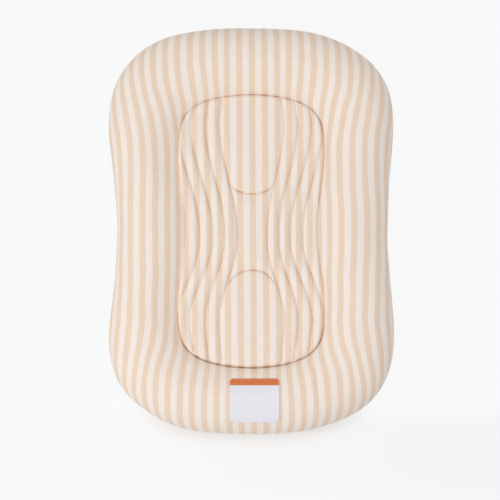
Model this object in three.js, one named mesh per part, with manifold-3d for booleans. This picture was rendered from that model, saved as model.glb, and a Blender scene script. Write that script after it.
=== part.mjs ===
// An infant lounger: a stuffed ring-shaped bolster round a contoured pad, in a cover that unzips underneath.
// Millimetres, +Z up, +Y towards the head end, origin on the floor under the middle.
import * as THREE from "three";
import { mergeVertices } from "three/addons/utils/BufferGeometryUtils.js";
import Module from "manifold-3d";

// Plan outline of the bolster at its widest: sides that bow in to a waist, and full rounded ends
const loungerLength = 762;
const flareWidth = 544;
const waistWidth = 500;
const flareFromMiddle = 290;
const loungerSidePower = 2.7;
const loungerEndPower = 5;

// Plan outline of the pad, and where its middle lies along the lounger
const padLength = 514;
const padFlareWidth = 272;
const padWaistWidth = 244;
const padFlareFromMiddle = 155;
const padSidePower = 1.9;
const padEndPower = 10;
const padMiddle = -4.2;

// The gap kept between pieces that touch
const clearance = 0.3;
const mergeShare = 0.001;

// Section of the bolster
const crestHeight = 100;
const wideHeight = 46;
const seamInset = 35;
const crestShare = 0.5;
const rimHeight = 62;
const outsidePower = 2.3;
const slopePower = 1.5;
const coverThickness = 2;
const linerThickness = 1.5;

// Quilted base panels, with a slot for the zip
const basePanelThickness = 7.5;
const basePanelMargin = 3;
const zipSlotWidth = 16;

// Layers that are stacked under the pad
const linerBaseThickness = 1.5;
const linerBaseSetback = 2;
const baseFoamThickness = 30;
const padBackingThickness = 1.2;

// The pad's face: it rolls up from its seam and carries sewn channels and two ovals
const padFaceThickness = 2;
const padSeamHeight = 63.5;
const padRise = 5;
const padEdgeRoll = 9;
const edgeRollRowShare = 0.25;
const ribRise = 5;
const ovalRise = 5;
const ovalShoulder = 18;
const channelAtWaist = [28, 50.5, 72.5, 96];
const channelAtBulge = [60, 86, 113, 136];
const channelWaistHead = 0;
const channelWaistFoot = 22;
const channelBulgeHead = 198;
const channelBulgeFoot = 167;
const channelDrawInShare = 0.08;
const headOvalTip = 69;
const headOvalSweep = 12;
const footOvalTip = 75;
const footOvalSweep = 22;
const ovalHalfWidth = 41;

// Blank cloth patch over the crest at the foot end
const patchLeft = -40;
const patchRight = 52;
const patchThickness = 1;
const patchLift = 0.6;
const patchOuterShare = 0.107;
const patchInnerShare = 0.78;

// Zip: tape and teeth lie in the slot of the base panels
const zipChainLength = 480;
const zipHeadTail = 14;
const zipFootTail = 32;
const tapeThickness = 0.5;
const toothPitch = 6;
const toothLength = 2.4;
const toothReach = 0.7;
const toothTipShare = 0.9;
const railInner = 1;
const railOuter = 3;
const teethThickness = 1.8;
const teethBottom = 4.3;
const stopLength = 3;

// Slider: two plates with side flanges, and a pin between two ears for the pull tab
const sliderLength = 12;
const sliderHeadWidth = 10.6;
const sliderTailWidth = 9;
const sliderPlateThickness = 0.8;
const sliderFlangeWidth = 1;
const earThickness = 0.8;
const earLength = 2.6;
const earFootShare = 0.33;
const earSpread = 4.2;
const pinRadius = 0.5;
const pinHeight = 1.6;
const eyeWall = 0.45;
const pullLength = 25;
const pullThickness = 1;
const pullGripWidth = 6.4;
const pullGripLength = 15;
const pullCorner = 1.5;
const cutOverrun = 1;

// How finely the soft forms are faceted
const stationCount = 52;
const underRollSteps = 2;
const outsideSteps = 3;
const slopeSteps = 4;
const ovalRow = 3;
const curveSegments = 10;
const patchColumns = 6;
const patchReach = 4;

const wasm = await Module();
wasm.setup();

// A closed plan outline that bows in at the middle and rounds off at both ends
class WaistedOutline extends THREE.Curve {
  constructor(size) {
    super();
    this.size = size;
    this.arcLengthDivisions = 2000;
  }

  flareAt(y) {
    const { flare, waist, flareFromMiddle: reach } = this.size;
    const along = Math.min(Math.abs(y) / reach, 1);
    return waist + (flare - waist) * (1 - Math.cos(Math.PI * along)) / 2;
  }

  halfWidthAt(y) {
    const { length, sidePower, endPower } = this.size;
    const left = 1 - Math.pow(Math.min(Math.abs(2 * y / length), 1), endPower);
    return this.flareAt(y) / 2 * Math.pow(left, 1 / sidePower);
  }

  halfLengthAt(x) {
    const { length, flare, sidePower, endPower } = this.size;
    const left = 1 - Math.pow(Math.min(Math.abs(2 * x / flare), 1), sidePower);
    return length / 2 * Math.pow(left, 1 / endPower);
  }

  getPoint(t, target = new THREE.Vector2()) {
    const angle = 2 * Math.PI * t;
    const y = this.size.length / 2 * Math.sin(angle);
    return target.set(Math.sign(Math.cos(angle)) * this.halfWidthAt(y), y);
  }
}

const loungerOutline = new WaistedOutline({
  length: loungerLength,
  flare: flareWidth,
  waist: waistWidth,
  flareFromMiddle,
  sidePower: loungerSidePower,
  endPower: loungerEndPower,
});
const padOutline = new WaistedOutline({
  length: padLength,
  flare: padFlareWidth,
  waist: padWaistWidth,
  flareFromMiddle: padFlareFromMiddle,
  sidePower: padSidePower,
  endPower: padEndPower,
});

// Stations run round the ring from the middle of the right side; each looks inwards from the outline to the pad
const outerPoints = loungerOutline.getSpacedPoints(stationCount);
const padPoints = padOutline.getSpacedPoints(stationCount);
const stations = [];
for (let i = 0; i < stationCount; i += 1) {
  const inward = new THREE.Vector2(padPoints[i].x, padPoints[i].y + padMiddle).sub(outerPoints[i]);
  stations.push({ outer: outerPoints[i], width: inward.length(), inward: inward.normalize() });
}

function placeAt(station, inset) {
  return station.outer.clone().addScaledVector(station.inward, inset);
}

function mesh(name, geometry, look) {
  const piece = new THREE.Mesh(geometry, new THREE.MeshStandardMaterial(look));
  piece.name = name;
  return piece;
}

function meshFromLists(positions, indices) {
  const geometry = new THREE.BufferGeometry();
  geometry.setAttribute("position", new THREE.Float32BufferAttribute(positions, 3));
  geometry.setIndex(indices);
  geometry.computeVertexNormals();
  return geometry;
}

// Joining and cutting of closed shapes
function toSolid(geometry) {
  const bare = geometry.clone();
  bare.deleteAttribute("normal");
  bare.deleteAttribute("uv");
  const merged = mergeVertices(bare, clearance * mergeShare);
  return new wasm.Manifold(new wasm.Mesh({
    numProp: 3,
    vertProperties: new Float32Array(merged.attributes.position.array),
    triVerts: new Uint32Array(merged.index.array),
  }));
}

function fromSolid(solid) {
  const result = solid.getMesh();
  return meshFromLists(Array.from(result.vertProperties), Array.from(result.triVerts));
}

function joined(geometries) {
  return fromSolid(geometries.map(toSolid).reduce((whole, next) => whole.add(next)));
}

function box(x, y, z) {
  const size = new THREE.Vector3(x[1] - x[0], y[1] - y[0], z[1] - z[0]);
  const geometry = new THREE.BoxGeometry(size.x, size.y, size.z);
  return geometry.translate((x[0] + x[1]) / 2, (y[0] + y[1]) / 2, (z[0] + z[1]) / 2);
}

// A plan shape from the floor up: its outline is a list of points or a ready shape
function slab(outline, bottom, thickness) {
  const shape = Array.isArray(outline) ? new THREE.Shape(outline) : outline;
  const geometry = new THREE.ExtrudeGeometry(shape, { depth: thickness, bevelEnabled: false, curveSegments });
  return geometry.translate(0, 0, bottom);
}

// One line of the bolster's section: inset from the outline and height, from the base seam to the pad's rim
const seamHeight = basePanelThickness + clearance;
function bolsterLine(width) {
  const quarter = Math.PI / 2;
  const crestInset = width * crestShare;
  const rimInset = width - clearance;
  const line = [];
  for (let i = 0; i < underRollSteps; i += 1) {
    const turn = quarter * i / underRollSteps;
    const height = seamHeight + (wideHeight - seamHeight) * (1 - Math.cos(turn));
    line.push(new THREE.Vector2(seamInset * (1 - Math.sin(turn)), height));
  }
  for (let i = 0; i < outsideSteps; i += 1) {
    const turn = quarter * i / outsideSteps;
    const height = wideHeight + (crestHeight - wideHeight) * Math.pow(Math.sin(turn), 2 / outsidePower);
    line.push(new THREE.Vector2(crestInset * (1 - Math.pow(Math.cos(turn), 2 / outsidePower)), height));
  }
  for (let i = 0; i <= slopeSteps; i += 1) {
    const turn = quarter * i / slopeSteps;
    const height = rimHeight + (crestHeight - rimHeight) * Math.pow(Math.abs(Math.cos(turn)), 2 / slopePower);
    const reach = (rimInset - crestInset) * Math.pow(Math.sin(turn), 2 / slopePower);
    line.push(new THREE.Vector2(crestInset + reach, height));
  }
  return line;
}

// The same line moved square into the bolster, or out of it where the depth is negative
function setInto(line, depth) {
  return line.map((point, i) => {
    const before = line[Math.max(i - 1, 0)];
    const after = line[Math.min(i + 1, line.length - 1)];
    const along = after.clone().sub(before).normalize();
    return new THREE.Vector2(point.x + along.y * depth, point.y - along.x * depth);
  });
}

// A closed ring over a section that sectionAt gives for each station's width as two lines, out and back.
// Facets are split the same way on both lines, so layers that follow each other keep their gap.
function ring(sectionAt) {
  const positions = [];
  const indices = [];
  let outLength = 0;
  let loopLength = 0;
  for (const station of stations) {
    const [out, back] = sectionAt(station.width);
    outLength = out.length;
    loopLength = out.length + back.length;
    for (const point of [...out, ...back]) {
      const place = placeAt(station, point.x);
      positions.push(place.x, place.y, point.y);
    }
  }
  for (let s = 0; s < stationCount; s += 1) {
    const here = s * loopLength;
    const next = (s + 1) % stationCount * loopLength;
    for (let k = 0; k < loopLength; k += 1) {
      const k2 = (k + 1) % loopLength;
      if (k < outLength) {
        indices.push(here + k, next + k, next + k2, here + k, next + k2, here + k2);
      } else {
        indices.push(here + k, next + k, here + k2, next + k, next + k2, here + k2);
      }
    }
  }
  return meshFromLists(positions, indices);
}

function skinRing(depth, thickness) {
  return ring((width) => {
    const line = bolsterLine(width);
    return [setInto(line, depth), setInto(line, depth + thickness).reverse()];
  });
}

const linerDepth = coverThickness + clearance;
const fillDepth = linerDepth + linerThickness + clearance;
const linerBaseBottom = basePanelThickness + clearance;
const fillBottom = linerBaseBottom + linerBaseThickness + clearance;

function fillLoop(width) {
  const top = setInto(bolsterLine(width), fillDepth);
  const wall = top[top.length - 1].x;
  return [top, [new THREE.Vector2(wall, fillBottom), new THREE.Vector2(seamInset + fillDepth / 2, fillBottom)]];
}

// The fill's inner wall stands this far out from the pad's outline, and the base foam reaches up to it
const fillWallSetback = stations[0].width - fillLoop(stations[0].width)[1][0].x;
const foamOverhang = fillWallSetback - 2 * clearance;

// Channels of the pad: narrow at the waist, wide at the bulge, drawn in a little towards the ends
function channelAt(index, y) {
  const [start, bulge] = y > 0 ? [channelWaistHead, channelBulgeHead] : [channelWaistFoot, channelBulgeFoot];
  const swing = THREE.MathUtils.smoothstep(Math.abs(y), start, bulge);
  const drawIn = THREE.MathUtils.smoothstep(Math.abs(y), bulge, padLength / 2);
  const wide = channelAtBulge[index] * (1 - channelDrawInShare * drawIn);
  return channelAtWaist[index] + (wide - channelAtWaist[index]) * swing;
}

// How far from the middle the rounded end of each oval lies, at a place across the pad
function ovalEdge(x, y) {
  const across = Math.min(Math.abs(x) / ovalHalfWidth, 1);
  return y > 0 ? headOvalTip + headOvalSweep * across ** 2 : footOvalTip + footOvalSweep * across ** 2;
}

function pillow(distance, shoulder) {
  const share = THREE.MathUtils.clamp(distance / shoulder, 0, 1);
  return Math.sqrt(1 - (1 - share) ** 2);
}

// Height of the pad's face, at a place measured from the pad's own middle
function padHeight(x, y) {
  const fromSide = padOutline.halfWidthAt(y) - Math.abs(x);
  const fromEnd = padOutline.halfLengthAt(x) - Math.abs(y);
  const edge = pillow(Math.max(Math.min(fromSide, fromEnd), 0), padEdgeRoll);
  const channels = [0, 1, 2, 3].map((index) => channelAt(index, y));
  let rise = 0;
  if (Math.abs(x) < channels[0]) {
    const pastOval = Math.abs(y) - ovalEdge(x, y);
    const fromChannel = channels[0] - Math.abs(x);
    rise = pastOval > 0
      ? ovalRise * pillow(Math.min(fromChannel, pastOval), ovalShoulder)
      : ribRise * pillow(Math.min(fromChannel, -pastOval), channels[0]);
  } else {
    const bounds = [...channels, padOutline.halfWidthAt(y) + padEdgeRoll];
    const index = bounds.findIndex((bound) => Math.abs(x) < bound);
    if (index > 0) {
      const span = bounds[index] - bounds[index - 1];
      rise = ribRise * Math.sin(Math.PI * (Math.abs(x) - bounds[index - 1]) / span);
    }
  }
  return padSeamHeight + padRise * edge + rise * edge;
}

// Columns of the pad's grid on one side: the middle, each channel, the crown of each rib, and the rolled edge
const columnSqueezeShare = 0.5;
function padColumns(y, halfWidth) {
  const wanted = [0];
  let last = 0;
  for (let index = 0; index < channelAtWaist.length; index += 1) {
    const channel = channelAt(index, y);
    wanted.push((last + channel) / 2, channel);
    last = channel;
  }
  wanted.push(Math.max(halfWidth - padEdgeRoll, last), halfWidth - padEdgeRoll * edgeRollRowShare, halfWidth);
  const most = wanted.length - 1;
  return wanted.map((x, k) => Math.min(x, halfWidth * (1 - columnSqueezeShare * (most - k) / most)));
}

// Rows of the grid follow the rounded end of each oval near it
function rowShift(x, y, row) {
  if (Math.abs(row) !== ovalRow) {
    return 0;
  }
  const channel = channelAt(0, y);
  const edge = padOutline.halfWidthAt(y);
  const fade = Math.abs(x) < channel ? 1 : THREE.MathUtils.clamp((edge - Math.abs(x)) / (edge - channel), 0, 1);
  const shift = ovalEdge(Math.min(Math.abs(x), channel), y) - Math.abs(y);
  return Math.sign(y) * shift * fade;
}

// A quilted layer over the pad's outline: its top lies this far under the pad's face
function padLayer(depth, bottomAt, fullBottom) {
  const rowsPerEnd = stationCount / 4;
  const positions = [];
  const indices = [];
  const rows = [];
  const addPoint = (x, y, z) => {
    positions.push(x, y + padMiddle, z);
    return positions.length / 3 - 1;
  };
  const gridPoints = (row) => {
    const edge = padPoints[(row + stationCount) % stationCount];
    const half = padColumns(edge.y, edge.x);
    const across = [...half.slice(1).reverse().map((x) => -x), ...half];
    return across.map((x) => new THREE.Vector2(x, edge.y + rowShift(x, edge.y, row)));
  };
  for (let row = 1 - rowsPerEnd; row < rowsPerEnd; row += 1) {
    const points = gridPoints(row);
    const top = points.map((p) => addPoint(p.x, p.y, padHeight(p.x, p.y) - depth));
    const kept = fullBottom ? points : [points[0], points[points.length - 1]];
    const bottom = kept.map((p) => addPoint(p.x, p.y, bottomAt(p.x, p.y)));
    rows.push({ top, bottom });
  }
  const join = (a, b, upwards) => {
    for (let k = 0; k < a.length - 1; k += 1) {
      const quad = upwards ? [a[k], a[k + 1], b[k + 1], b[k]] : [a[k], b[k], b[k + 1], a[k + 1]];
      indices.push(quad[0], quad[1], quad[2], quad[0], quad[2], quad[3]);
    }
  };
  for (let i = 0; i < rows.length - 1; i += 1) {
    const near = rows[i];
    const far = rows[i + 1];
    join(near.top, far.top, true);
    join(near.bottom, far.bottom, false);
    join([near.bottom.at(-1), far.bottom.at(-1)], [near.top.at(-1), far.top.at(-1)], true);
    join([far.bottom[0], near.bottom[0]], [far.top[0], near.top[0]], true);
  }
  // The two ends close on a point each
  for (const [row, y] of [[rows[0], -padLength / 2], [rows.at(-1), padLength / 2]]) {
    const tipTop = addPoint(0, y, padHeight(0, y) - depth);
    const tipBottom = addPoint(0, y, bottomAt(0, y));
    const turned = y > 0;
    const triangle = (a, b, c) => indices.push(...(turned ? [a, b, c] : [a, c, b]));
    for (let k = 0; k < row.top.length - 1; k += 1) {
      triangle(row.top[k], row.top[k + 1], tipTop);
    }
    for (let k = 0; k < row.bottom.length - 1; k += 1) {
      triangle(row.bottom[k + 1], row.bottom[k], tipBottom);
    }
    triangle(tipBottom, tipTop, row.top.at(-1));
    triangle(tipBottom, row.top.at(-1), row.bottom.at(-1));
    triangle(tipBottom, row.top[0], tipTop);
    triangle(tipBottom, row.bottom[0], row.top[0]);
  }
  return meshFromLists(positions, indices);
}

// Layers under the pad, from the base up
const baseFoamBottom = fillBottom;
const padBackingBottom = baseFoamBottom + baseFoamThickness + clearance;
const padCoreBottom = padBackingBottom + padBackingThickness + clearance;
const padCoreDepth = padFaceThickness + clearance;

function stationLoop(insetAt) {
  return stations.map((station) => placeAt(station, insetAt(station)));
}

// A base panel: one half of the base, with half of the zip's slot cut out of its straight edge
const zipHeadEnd = zipChainLength / 2 + zipHeadTail;
const zipFootEnd = -zipChainLength / 2 - zipFootTail;
function basePanel(side) {
  const loop = stationLoop(() => seamInset - basePanelMargin);
  const quarter = stationCount / 4;
  const seam = clearance / 2;
  const slot = zipSlotWidth / 2;
  const outline = [];
  for (let row = 1 - quarter; row < quarter; row += 1) {
    outline.push(loop[(row + stationCount) % stationCount]);
  }
  const end = loop[quarter].y;
  outline.unshift(new THREE.Vector2(seam, -end));
  outline.push(new THREE.Vector2(seam, end), new THREE.Vector2(seam, zipHeadEnd));
  outline.push(new THREE.Vector2(slot, zipHeadEnd), new THREE.Vector2(slot, zipFootEnd));
  outline.push(new THREE.Vector2(seam, zipFootEnd));
  return slab(outline.map((p) => new THREE.Vector2(side * p.x, p.y)), 0, basePanelThickness);
}

// The patch lies on the cover's facets: its points are read off the cover's own section lines
function patch() {
  const footStation = stationCount * 3 / 4;
  const footWidth = stations[footStation].width;
  const between = bolsterLine(footWidth)
    .slice(underRollSteps)
    .map((point) => point.x / footWidth)
    .filter((share) => share > patchOuterShare && share < patchInnerShare);
  const shares = [patchOuterShare, ...between, patchInnerShare];
  const lines = (depth) => stations.map((station) => {
    const line = bolsterLine(station.width).slice(underRollSteps);
    return { station, line, set: setInto(line, depth) };
  });
  const atShare = (entry, share) => {
    const target = share * entry.station.width;
    const k = Math.max(entry.line.findIndex((point) => point.x > target), 1);
    const blend = (target - entry.line[k - 1].x) / (entry.line[k].x - entry.line[k - 1].x);
    const point = entry.set[k - 1].clone().lerp(entry.set[k], blend);
    const place = placeAt(entry.station, point.x);
    return new THREE.Vector3(place.x, place.y, point.y);
  };
  const row = (depth, share) => {
    const near = lines(depth).slice(footStation - patchReach, footStation + patchReach + 1);
    const along = near.map((entry) => atShare(entry, share));
    const points = [];
    for (let c = 0; c <= patchColumns; c += 1) {
      const x = patchLeft + (patchRight - patchLeft) * c / patchColumns;
      const k = along.findIndex((point) => point.x > x);
      const blend = (x - along[k - 1].x) / (along[k].x - along[k - 1].x);
      points.push(along[k - 1].clone().lerp(along[k], blend));
    }
    return points;
  };
  const positions = [];
  const indices = [];
  const layers = [-patchLift, -patchLift - patchThickness].map((depth) => shares.map((share) => row(depth, share)));
  layers.flat(2).forEach((point) => positions.push(point.x, point.y, point.z));
  const at = (layer, r, c) => (layer * shares.length + r) * (patchColumns + 1) + c;
  const quad = (a, b, c, d) => indices.push(a, b, c, a, c, d);
  const lastRow = shares.length - 1;
  for (let r = 0; r < lastRow; r += 1) {
    for (let c = 0; c < patchColumns; c += 1) {
      quad(at(1, r, c), at(1, r, c + 1), at(1, r + 1, c + 1), at(1, r + 1, c));
      quad(at(0, r, c), at(0, r + 1, c), at(0, r + 1, c + 1), at(0, r, c + 1));
    }
    quad(at(0, r, 0), at(1, r, 0), at(1, r + 1, 0), at(0, r + 1, 0));
    quad(at(0, r, patchColumns), at(0, r + 1, patchColumns), at(1, r + 1, patchColumns), at(1, r, patchColumns));
  }
  for (let c = 0; c < patchColumns; c += 1) {
    quad(at(0, 0, c), at(0, 0, c + 1), at(1, 0, c + 1), at(1, 0, c));
    quad(at(0, lastRow, c), at(1, lastRow, c), at(1, lastRow, c + 1), at(0, lastRow, c + 1));
  }
  return meshFromLists(positions, indices);
}

// Zip heights, from the teeth outwards
const teethTop = teethBottom + teethThickness;
const tapeBottom = teethBottom + (teethThickness - tapeThickness) / 2;
const sliderPlateTop = teethBottom - clearance;
const sliderPlateBottom = sliderPlateTop - sliderPlateThickness;
const sliderBackBottom = teethTop + clearance;
const flangeInner = railOuter + clearance;
const chainHead = zipChainLength / 2;
const chainFoot = -zipChainLength / 2;

function zipTape(side) {
  const across = [flangeInner, zipSlotWidth / 2 - clearance].map((x) => side * x).sort((a, b) => a - b);
  const along = [zipFootEnd + clearance, zipHeadEnd - clearance];
  return box(across, along, [tapeBottom, tapeBottom + tapeThickness]);
}

// A row of teeth: a rail with a tooth at every pitch, the two rows set half a pitch apart
function zipTeeth(side) {
  const count = Math.floor(zipChainLength / toothPitch) - 1;
  const start = chainFoot + toothPitch * (side > 0 ? 1 : 0.5);
  const tip = toothLength / 2;
  const outline = [new THREE.Vector2(railOuter, chainFoot), new THREE.Vector2(railOuter, chainHead)];
  outline.push(new THREE.Vector2(railInner, chainHead));
  for (let i = count - 1; i >= 0; i -= 1) {
    const y = start + toothPitch * i;
    outline.push(new THREE.Vector2(railInner, y + tip), new THREE.Vector2(-toothReach, y + tip * toothTipShare));
    outline.push(new THREE.Vector2(-toothReach, y - tip * toothTipShare), new THREE.Vector2(railInner, y - tip));
  }
  outline.push(new THREE.Vector2(railInner, chainFoot));
  return slab(outline.map((p) => new THREE.Vector2(side * p.x, p.y)), teethBottom, teethThickness);
}

function topStop(side) {
  const across = [railInner, railOuter].map((x) => side * x).sort((a, b) => a - b);
  const start = chainHead + clearance;
  return box(across, [start, start + stopLength], [teethBottom, teethTop]);
}

function bottomStop() {
  const end = chainFoot - clearance;
  return box([-railOuter, railOuter], [end - stopLength, end], [teethBottom, teethTop]);
}

// Slider at the closed end of the zip, its pin under its middle
const sliderMiddle = chainHead - sliderLength / 2;
function sliderShape() {
  const head = sliderHeadWidth / 2;
  const tail = sliderTailWidth / 2;
  const half = sliderLength / 2;
  const shape = new THREE.Shape();
  shape.moveTo(-tail, sliderMiddle - half);
  shape.lineTo(tail, sliderMiddle - half);
  shape.quadraticCurveTo(head, sliderMiddle, head, sliderMiddle + half / 2);
  shape.quadraticCurveTo(head, sliderMiddle + half, 0, sliderMiddle + half);
  shape.quadraticCurveTo(-head, sliderMiddle + half, -head, sliderMiddle + half / 2);
  shape.quadraticCurveTo(-head, sliderMiddle, -tail, sliderMiddle - half);
  return shape;
}

function flange(side, heights) {
  const across = [flangeInner, flangeInner + sliderFlangeWidth].map((x) => side * x).sort((a, b) => a - b);
  const reach = sliderLength / 2 - sliderFlangeWidth;
  return box(across, [sliderMiddle - reach, sliderMiddle + reach], heights);
}

function pinAcross(radius, halfLength) {
  const pin = new THREE.CylinderGeometry(radius, radius, 2 * halfLength, 2 * curveSegments);
  return pin.rotateZ(Math.PI / 2).translate(0, sliderMiddle, pinHeight);
}

function zipSlider() {
  const plate = slab(sliderShape(), sliderPlateBottom, sliderPlateThickness);
  const heights = [sliderPlateTop - sliderPlateThickness / 2, tapeBottom - clearance];
  const parts = [plate, flange(-1, heights), flange(1, heights)];
  const earInner = earSpread / 2;
  for (const side of [-1, 1]) {
    const across = [earInner, earInner + earThickness].map((x) => side * x).sort((a, b) => a - b);
    const along = [sliderMiddle - earLength / 2, sliderMiddle + earLength / 2];
    parts.push(box(across, along, [pinHeight - earLength * earFootShare, sliderPlateBottom + sliderPlateThickness / 2]));
  }
  parts.push(pinAcross(pinRadius, earInner + earThickness / 2));
  return joined(parts);
}

function zipSliderBack() {
  const plate = slab(sliderShape(), sliderBackBottom, sliderPlateThickness);
  const heights = [tapeBottom + tapeThickness + clearance, sliderBackBottom + sliderPlateThickness / 2];
  return joined([plate, flange(-1, heights), flange(1, heights)]);
}

// Pull tab: an eye round the pin, a neck, and a grip with round corners
function zipPull() {
  const eyeHole = pinRadius + clearance;
  const eyeOuter = eyeHole + eyeWall;
  const neckHalf = earSpread / 2 - clearance;
  const bottom = pinHeight - pullThickness / 2;
  const tail = sliderMiddle - pullLength;
  const gripStart = tail + pullGripLength;
  const eye = pinAcross(eyeOuter, neckHalf);
  const neck = box([-neckHalf, neckHalf], [gripStart - pullCorner, sliderMiddle], [bottom, bottom + pullThickness]);
  const half = pullGripWidth / 2;
  const shape = new THREE.Shape();
  shape.moveTo(-half + pullCorner, tail);
  shape.lineTo(half - pullCorner, tail);
  shape.quadraticCurveTo(half, tail, half, tail + pullCorner);
  shape.lineTo(neckHalf, gripStart);
  shape.lineTo(-neckHalf, gripStart);
  shape.lineTo(-half, tail + pullCorner);
  shape.quadraticCurveTo(-half, tail, -half + pullCorner, tail);
  const whole = [eye, neck, slab(shape, bottom, pullThickness)].map(toSolid).reduce((sum, next) => sum.add(next));
  return fromSolid(whole.subtract(toSolid(pinAcross(eyeHole, neckHalf + cutOverrun))));
}

// Finishes
const stripedCotton = { color: 0xe6d3bf, roughness: 0.9, metalness: 0 };
const casing = { color: 0xf2f0ec, roughness: 0.95, metalness: 0 };
const stuffing = { color: 0xfafafa, roughness: 1, metalness: 0 };
const foam = { color: 0xf3ecd9, roughness: 0.95, metalness: 0 };
const baseCloth = { color: 0xe9dccd, roughness: 0.92, metalness: 0 };
const tapeCloth = { color: 0xe4d9cb, roughness: 0.85, metalness: 0 };
const zipPlastic = { color: 0xddd0c0, roughness: 0.45, metalness: 0 };
const zipMetal = { color: 0xc9c4bb, roughness: 0.35, metalness: 0.9 };
const patchCloth = { color: 0xf0f0f6, roughness: 0.7, metalness: 0 };

const lounger = new THREE.Group();
lounger.add(mesh("cover_base_left", basePanel(-1), baseCloth));
lounger.add(mesh("cover_base_right", basePanel(1), baseCloth));
lounger.add(mesh("cover_top", skinRing(0, coverThickness), stripedCotton));
lounger.add(mesh("liner_top", skinRing(linerDepth, linerThickness), casing));
lounger.add(mesh("bolster_fill", ring(fillLoop), stuffing));
const linerLoop = stationLoop(() => seamInset + linerBaseSetback);
lounger.add(mesh("liner_base", slab(linerLoop, linerBaseBottom, linerBaseThickness), casing));
const foamLoop = stationLoop((station) => station.width - foamOverhang);
lounger.add(mesh("base_foam", slab(foamLoop, baseFoamBottom, baseFoamThickness), foam));
const backingLoop = stationLoop((station) => station.width);
lounger.add(mesh("pad_backing", slab(backingLoop, padBackingBottom, padBackingThickness), casing));
lounger.add(mesh("pad_core", padLayer(padCoreDepth, () => padCoreBottom, false), foam));
const faceBottom = (x, y) => padHeight(x, y) - padFaceThickness;
lounger.add(mesh("pad_face", padLayer(0, faceBottom, true), stripedCotton));
lounger.add(mesh("label_patch", patch(), patchCloth));
lounger.add(mesh("zip_tape_left", zipTape(-1), tapeCloth));
lounger.add(mesh("zip_tape_right", zipTape(1), tapeCloth));
lounger.add(mesh("zip_teeth_left", zipTeeth(-1), zipPlastic));
lounger.add(mesh("zip_teeth_right", zipTeeth(1), zipPlastic));
lounger.add(mesh("zip_top_stop_left", topStop(-1), zipMetal));
lounger.add(mesh("zip_top_stop_right", topStop(1), zipMetal));
lounger.add(mesh("zip_bottom_stop", bottomStop(), zipMetal));
lounger.add(mesh("zip_slider", zipSlider(), zipMetal));
lounger.add(mesh("zip_slider_back", zipSliderBack(), zipMetal));
lounger.add(mesh("zip_pull", zipPull(), zipMetal));

export default lounger;
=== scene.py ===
import math
import bmesh
import bpy
import numpy as np
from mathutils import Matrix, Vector, noise
from mathutils.bvhtree import BVHTree


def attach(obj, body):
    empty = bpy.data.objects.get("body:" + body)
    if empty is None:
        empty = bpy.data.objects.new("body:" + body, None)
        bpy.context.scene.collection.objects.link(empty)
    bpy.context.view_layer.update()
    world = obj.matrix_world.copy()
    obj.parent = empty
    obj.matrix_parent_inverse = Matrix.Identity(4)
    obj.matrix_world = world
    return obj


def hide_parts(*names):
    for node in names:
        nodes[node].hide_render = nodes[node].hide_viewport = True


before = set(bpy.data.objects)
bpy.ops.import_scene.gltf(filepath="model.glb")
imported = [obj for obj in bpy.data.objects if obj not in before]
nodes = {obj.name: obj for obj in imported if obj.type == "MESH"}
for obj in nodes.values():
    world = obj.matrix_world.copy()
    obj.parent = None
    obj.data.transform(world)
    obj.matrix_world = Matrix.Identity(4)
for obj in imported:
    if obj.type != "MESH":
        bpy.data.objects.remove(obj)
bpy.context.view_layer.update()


def report(stage):
    print("[lounger]", stage)


# Plan outlines and heights that several pieces share
boundary = {
    "length": 0.762,
    "flare": 0.544,
    "waist": 0.500,
    "flareFrom": 0.290,
    "sidePower": 2.7,
    "endPower": 5,
}
padBoundary = {
    "length": 0.514,
    "flare": 0.272,
    "waist": 0.244,
    "flareFrom": 0.155,
    "sidePower": 1.9,
    "endPower": 10,
}
padMiddle = -0.0042
gap = {"width": 0.0003, "sides": 0.2, "headMore": 0.2, "footMore": 0.8}
coverFloor = 0.0078
fillFloor = 0.0096


def smoothStep(value, start, end):
    t = np.clip((value - start) / (end - start), 0, 1)
    return t * t * (3 - 2 * t)


def pillow(distance, shoulder):
    share = np.clip(distance / shoulder, 0, 1)
    return np.sqrt(1 - (1 - share) ** 2)


# A soft hump of height 1 at nothing, about as wide as the reach on either side
def hump(distance, reach):
    return np.exp(-(distance / reach) ** 2)


# Shares from 0 up to 1 at the last step, closer together at either end
def easedShares(count, last):
    return (1 - np.cos(np.pi * np.arange(count) / last)) / 2


def halfWidthAt(size, y):
    along = np.minimum(np.abs(y) / size["flareFrom"], 1)
    flare = size["waist"] + (size["flare"] - size["waist"]) * (1 - np.cos(np.pi * along)) / 2
    left = 1 - np.minimum(np.abs(2 * y / size["length"]), 1) ** size["endPower"]
    return flare / 2 * left ** (1 / size["sidePower"])


def halfLengthAt(size, x):
    left = 1 - np.minimum(np.abs(2 * x / size["flare"]), 1) ** size["sidePower"]
    return size["length"] / 2 * left ** (1 / size["endPower"])


# Points evenly spaced round an outline, counterclockwise from the middle of the right side
def evenOutline(size, count, fine=16000):
    angle = 2 * np.pi * np.arange(fine + 1) / fine
    y = size["length"] / 2 * np.sin(angle)
    x = np.sign(np.cos(angle)) * halfWidthAt(size, y)
    run = np.concatenate([[0], np.cumsum(np.hypot(np.diff(x), np.diff(y)))])
    wanted = run[-1] * np.arange(count) / count
    return np.stack([np.interp(wanted, run, x), np.interp(wanted, run, y)], axis=1)


def addObject(name, data):
    thing = bpy.data.objects.new(name, data)
    bpy.context.scene.collection.objects.link(thing)
    return thing


def meshObject(name, points, faces, smooth=True):
    mesh = bpy.data.meshes.new(name)
    mesh.from_pydata(np.asarray(points).tolist(), [], [list(map(int, f)) for f in faces])
    mesh.update()
    mesh.polygons.foreach_set("use_smooth", [smooth] * len(mesh.polygons))
    return addObject(name, mesh)


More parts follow.
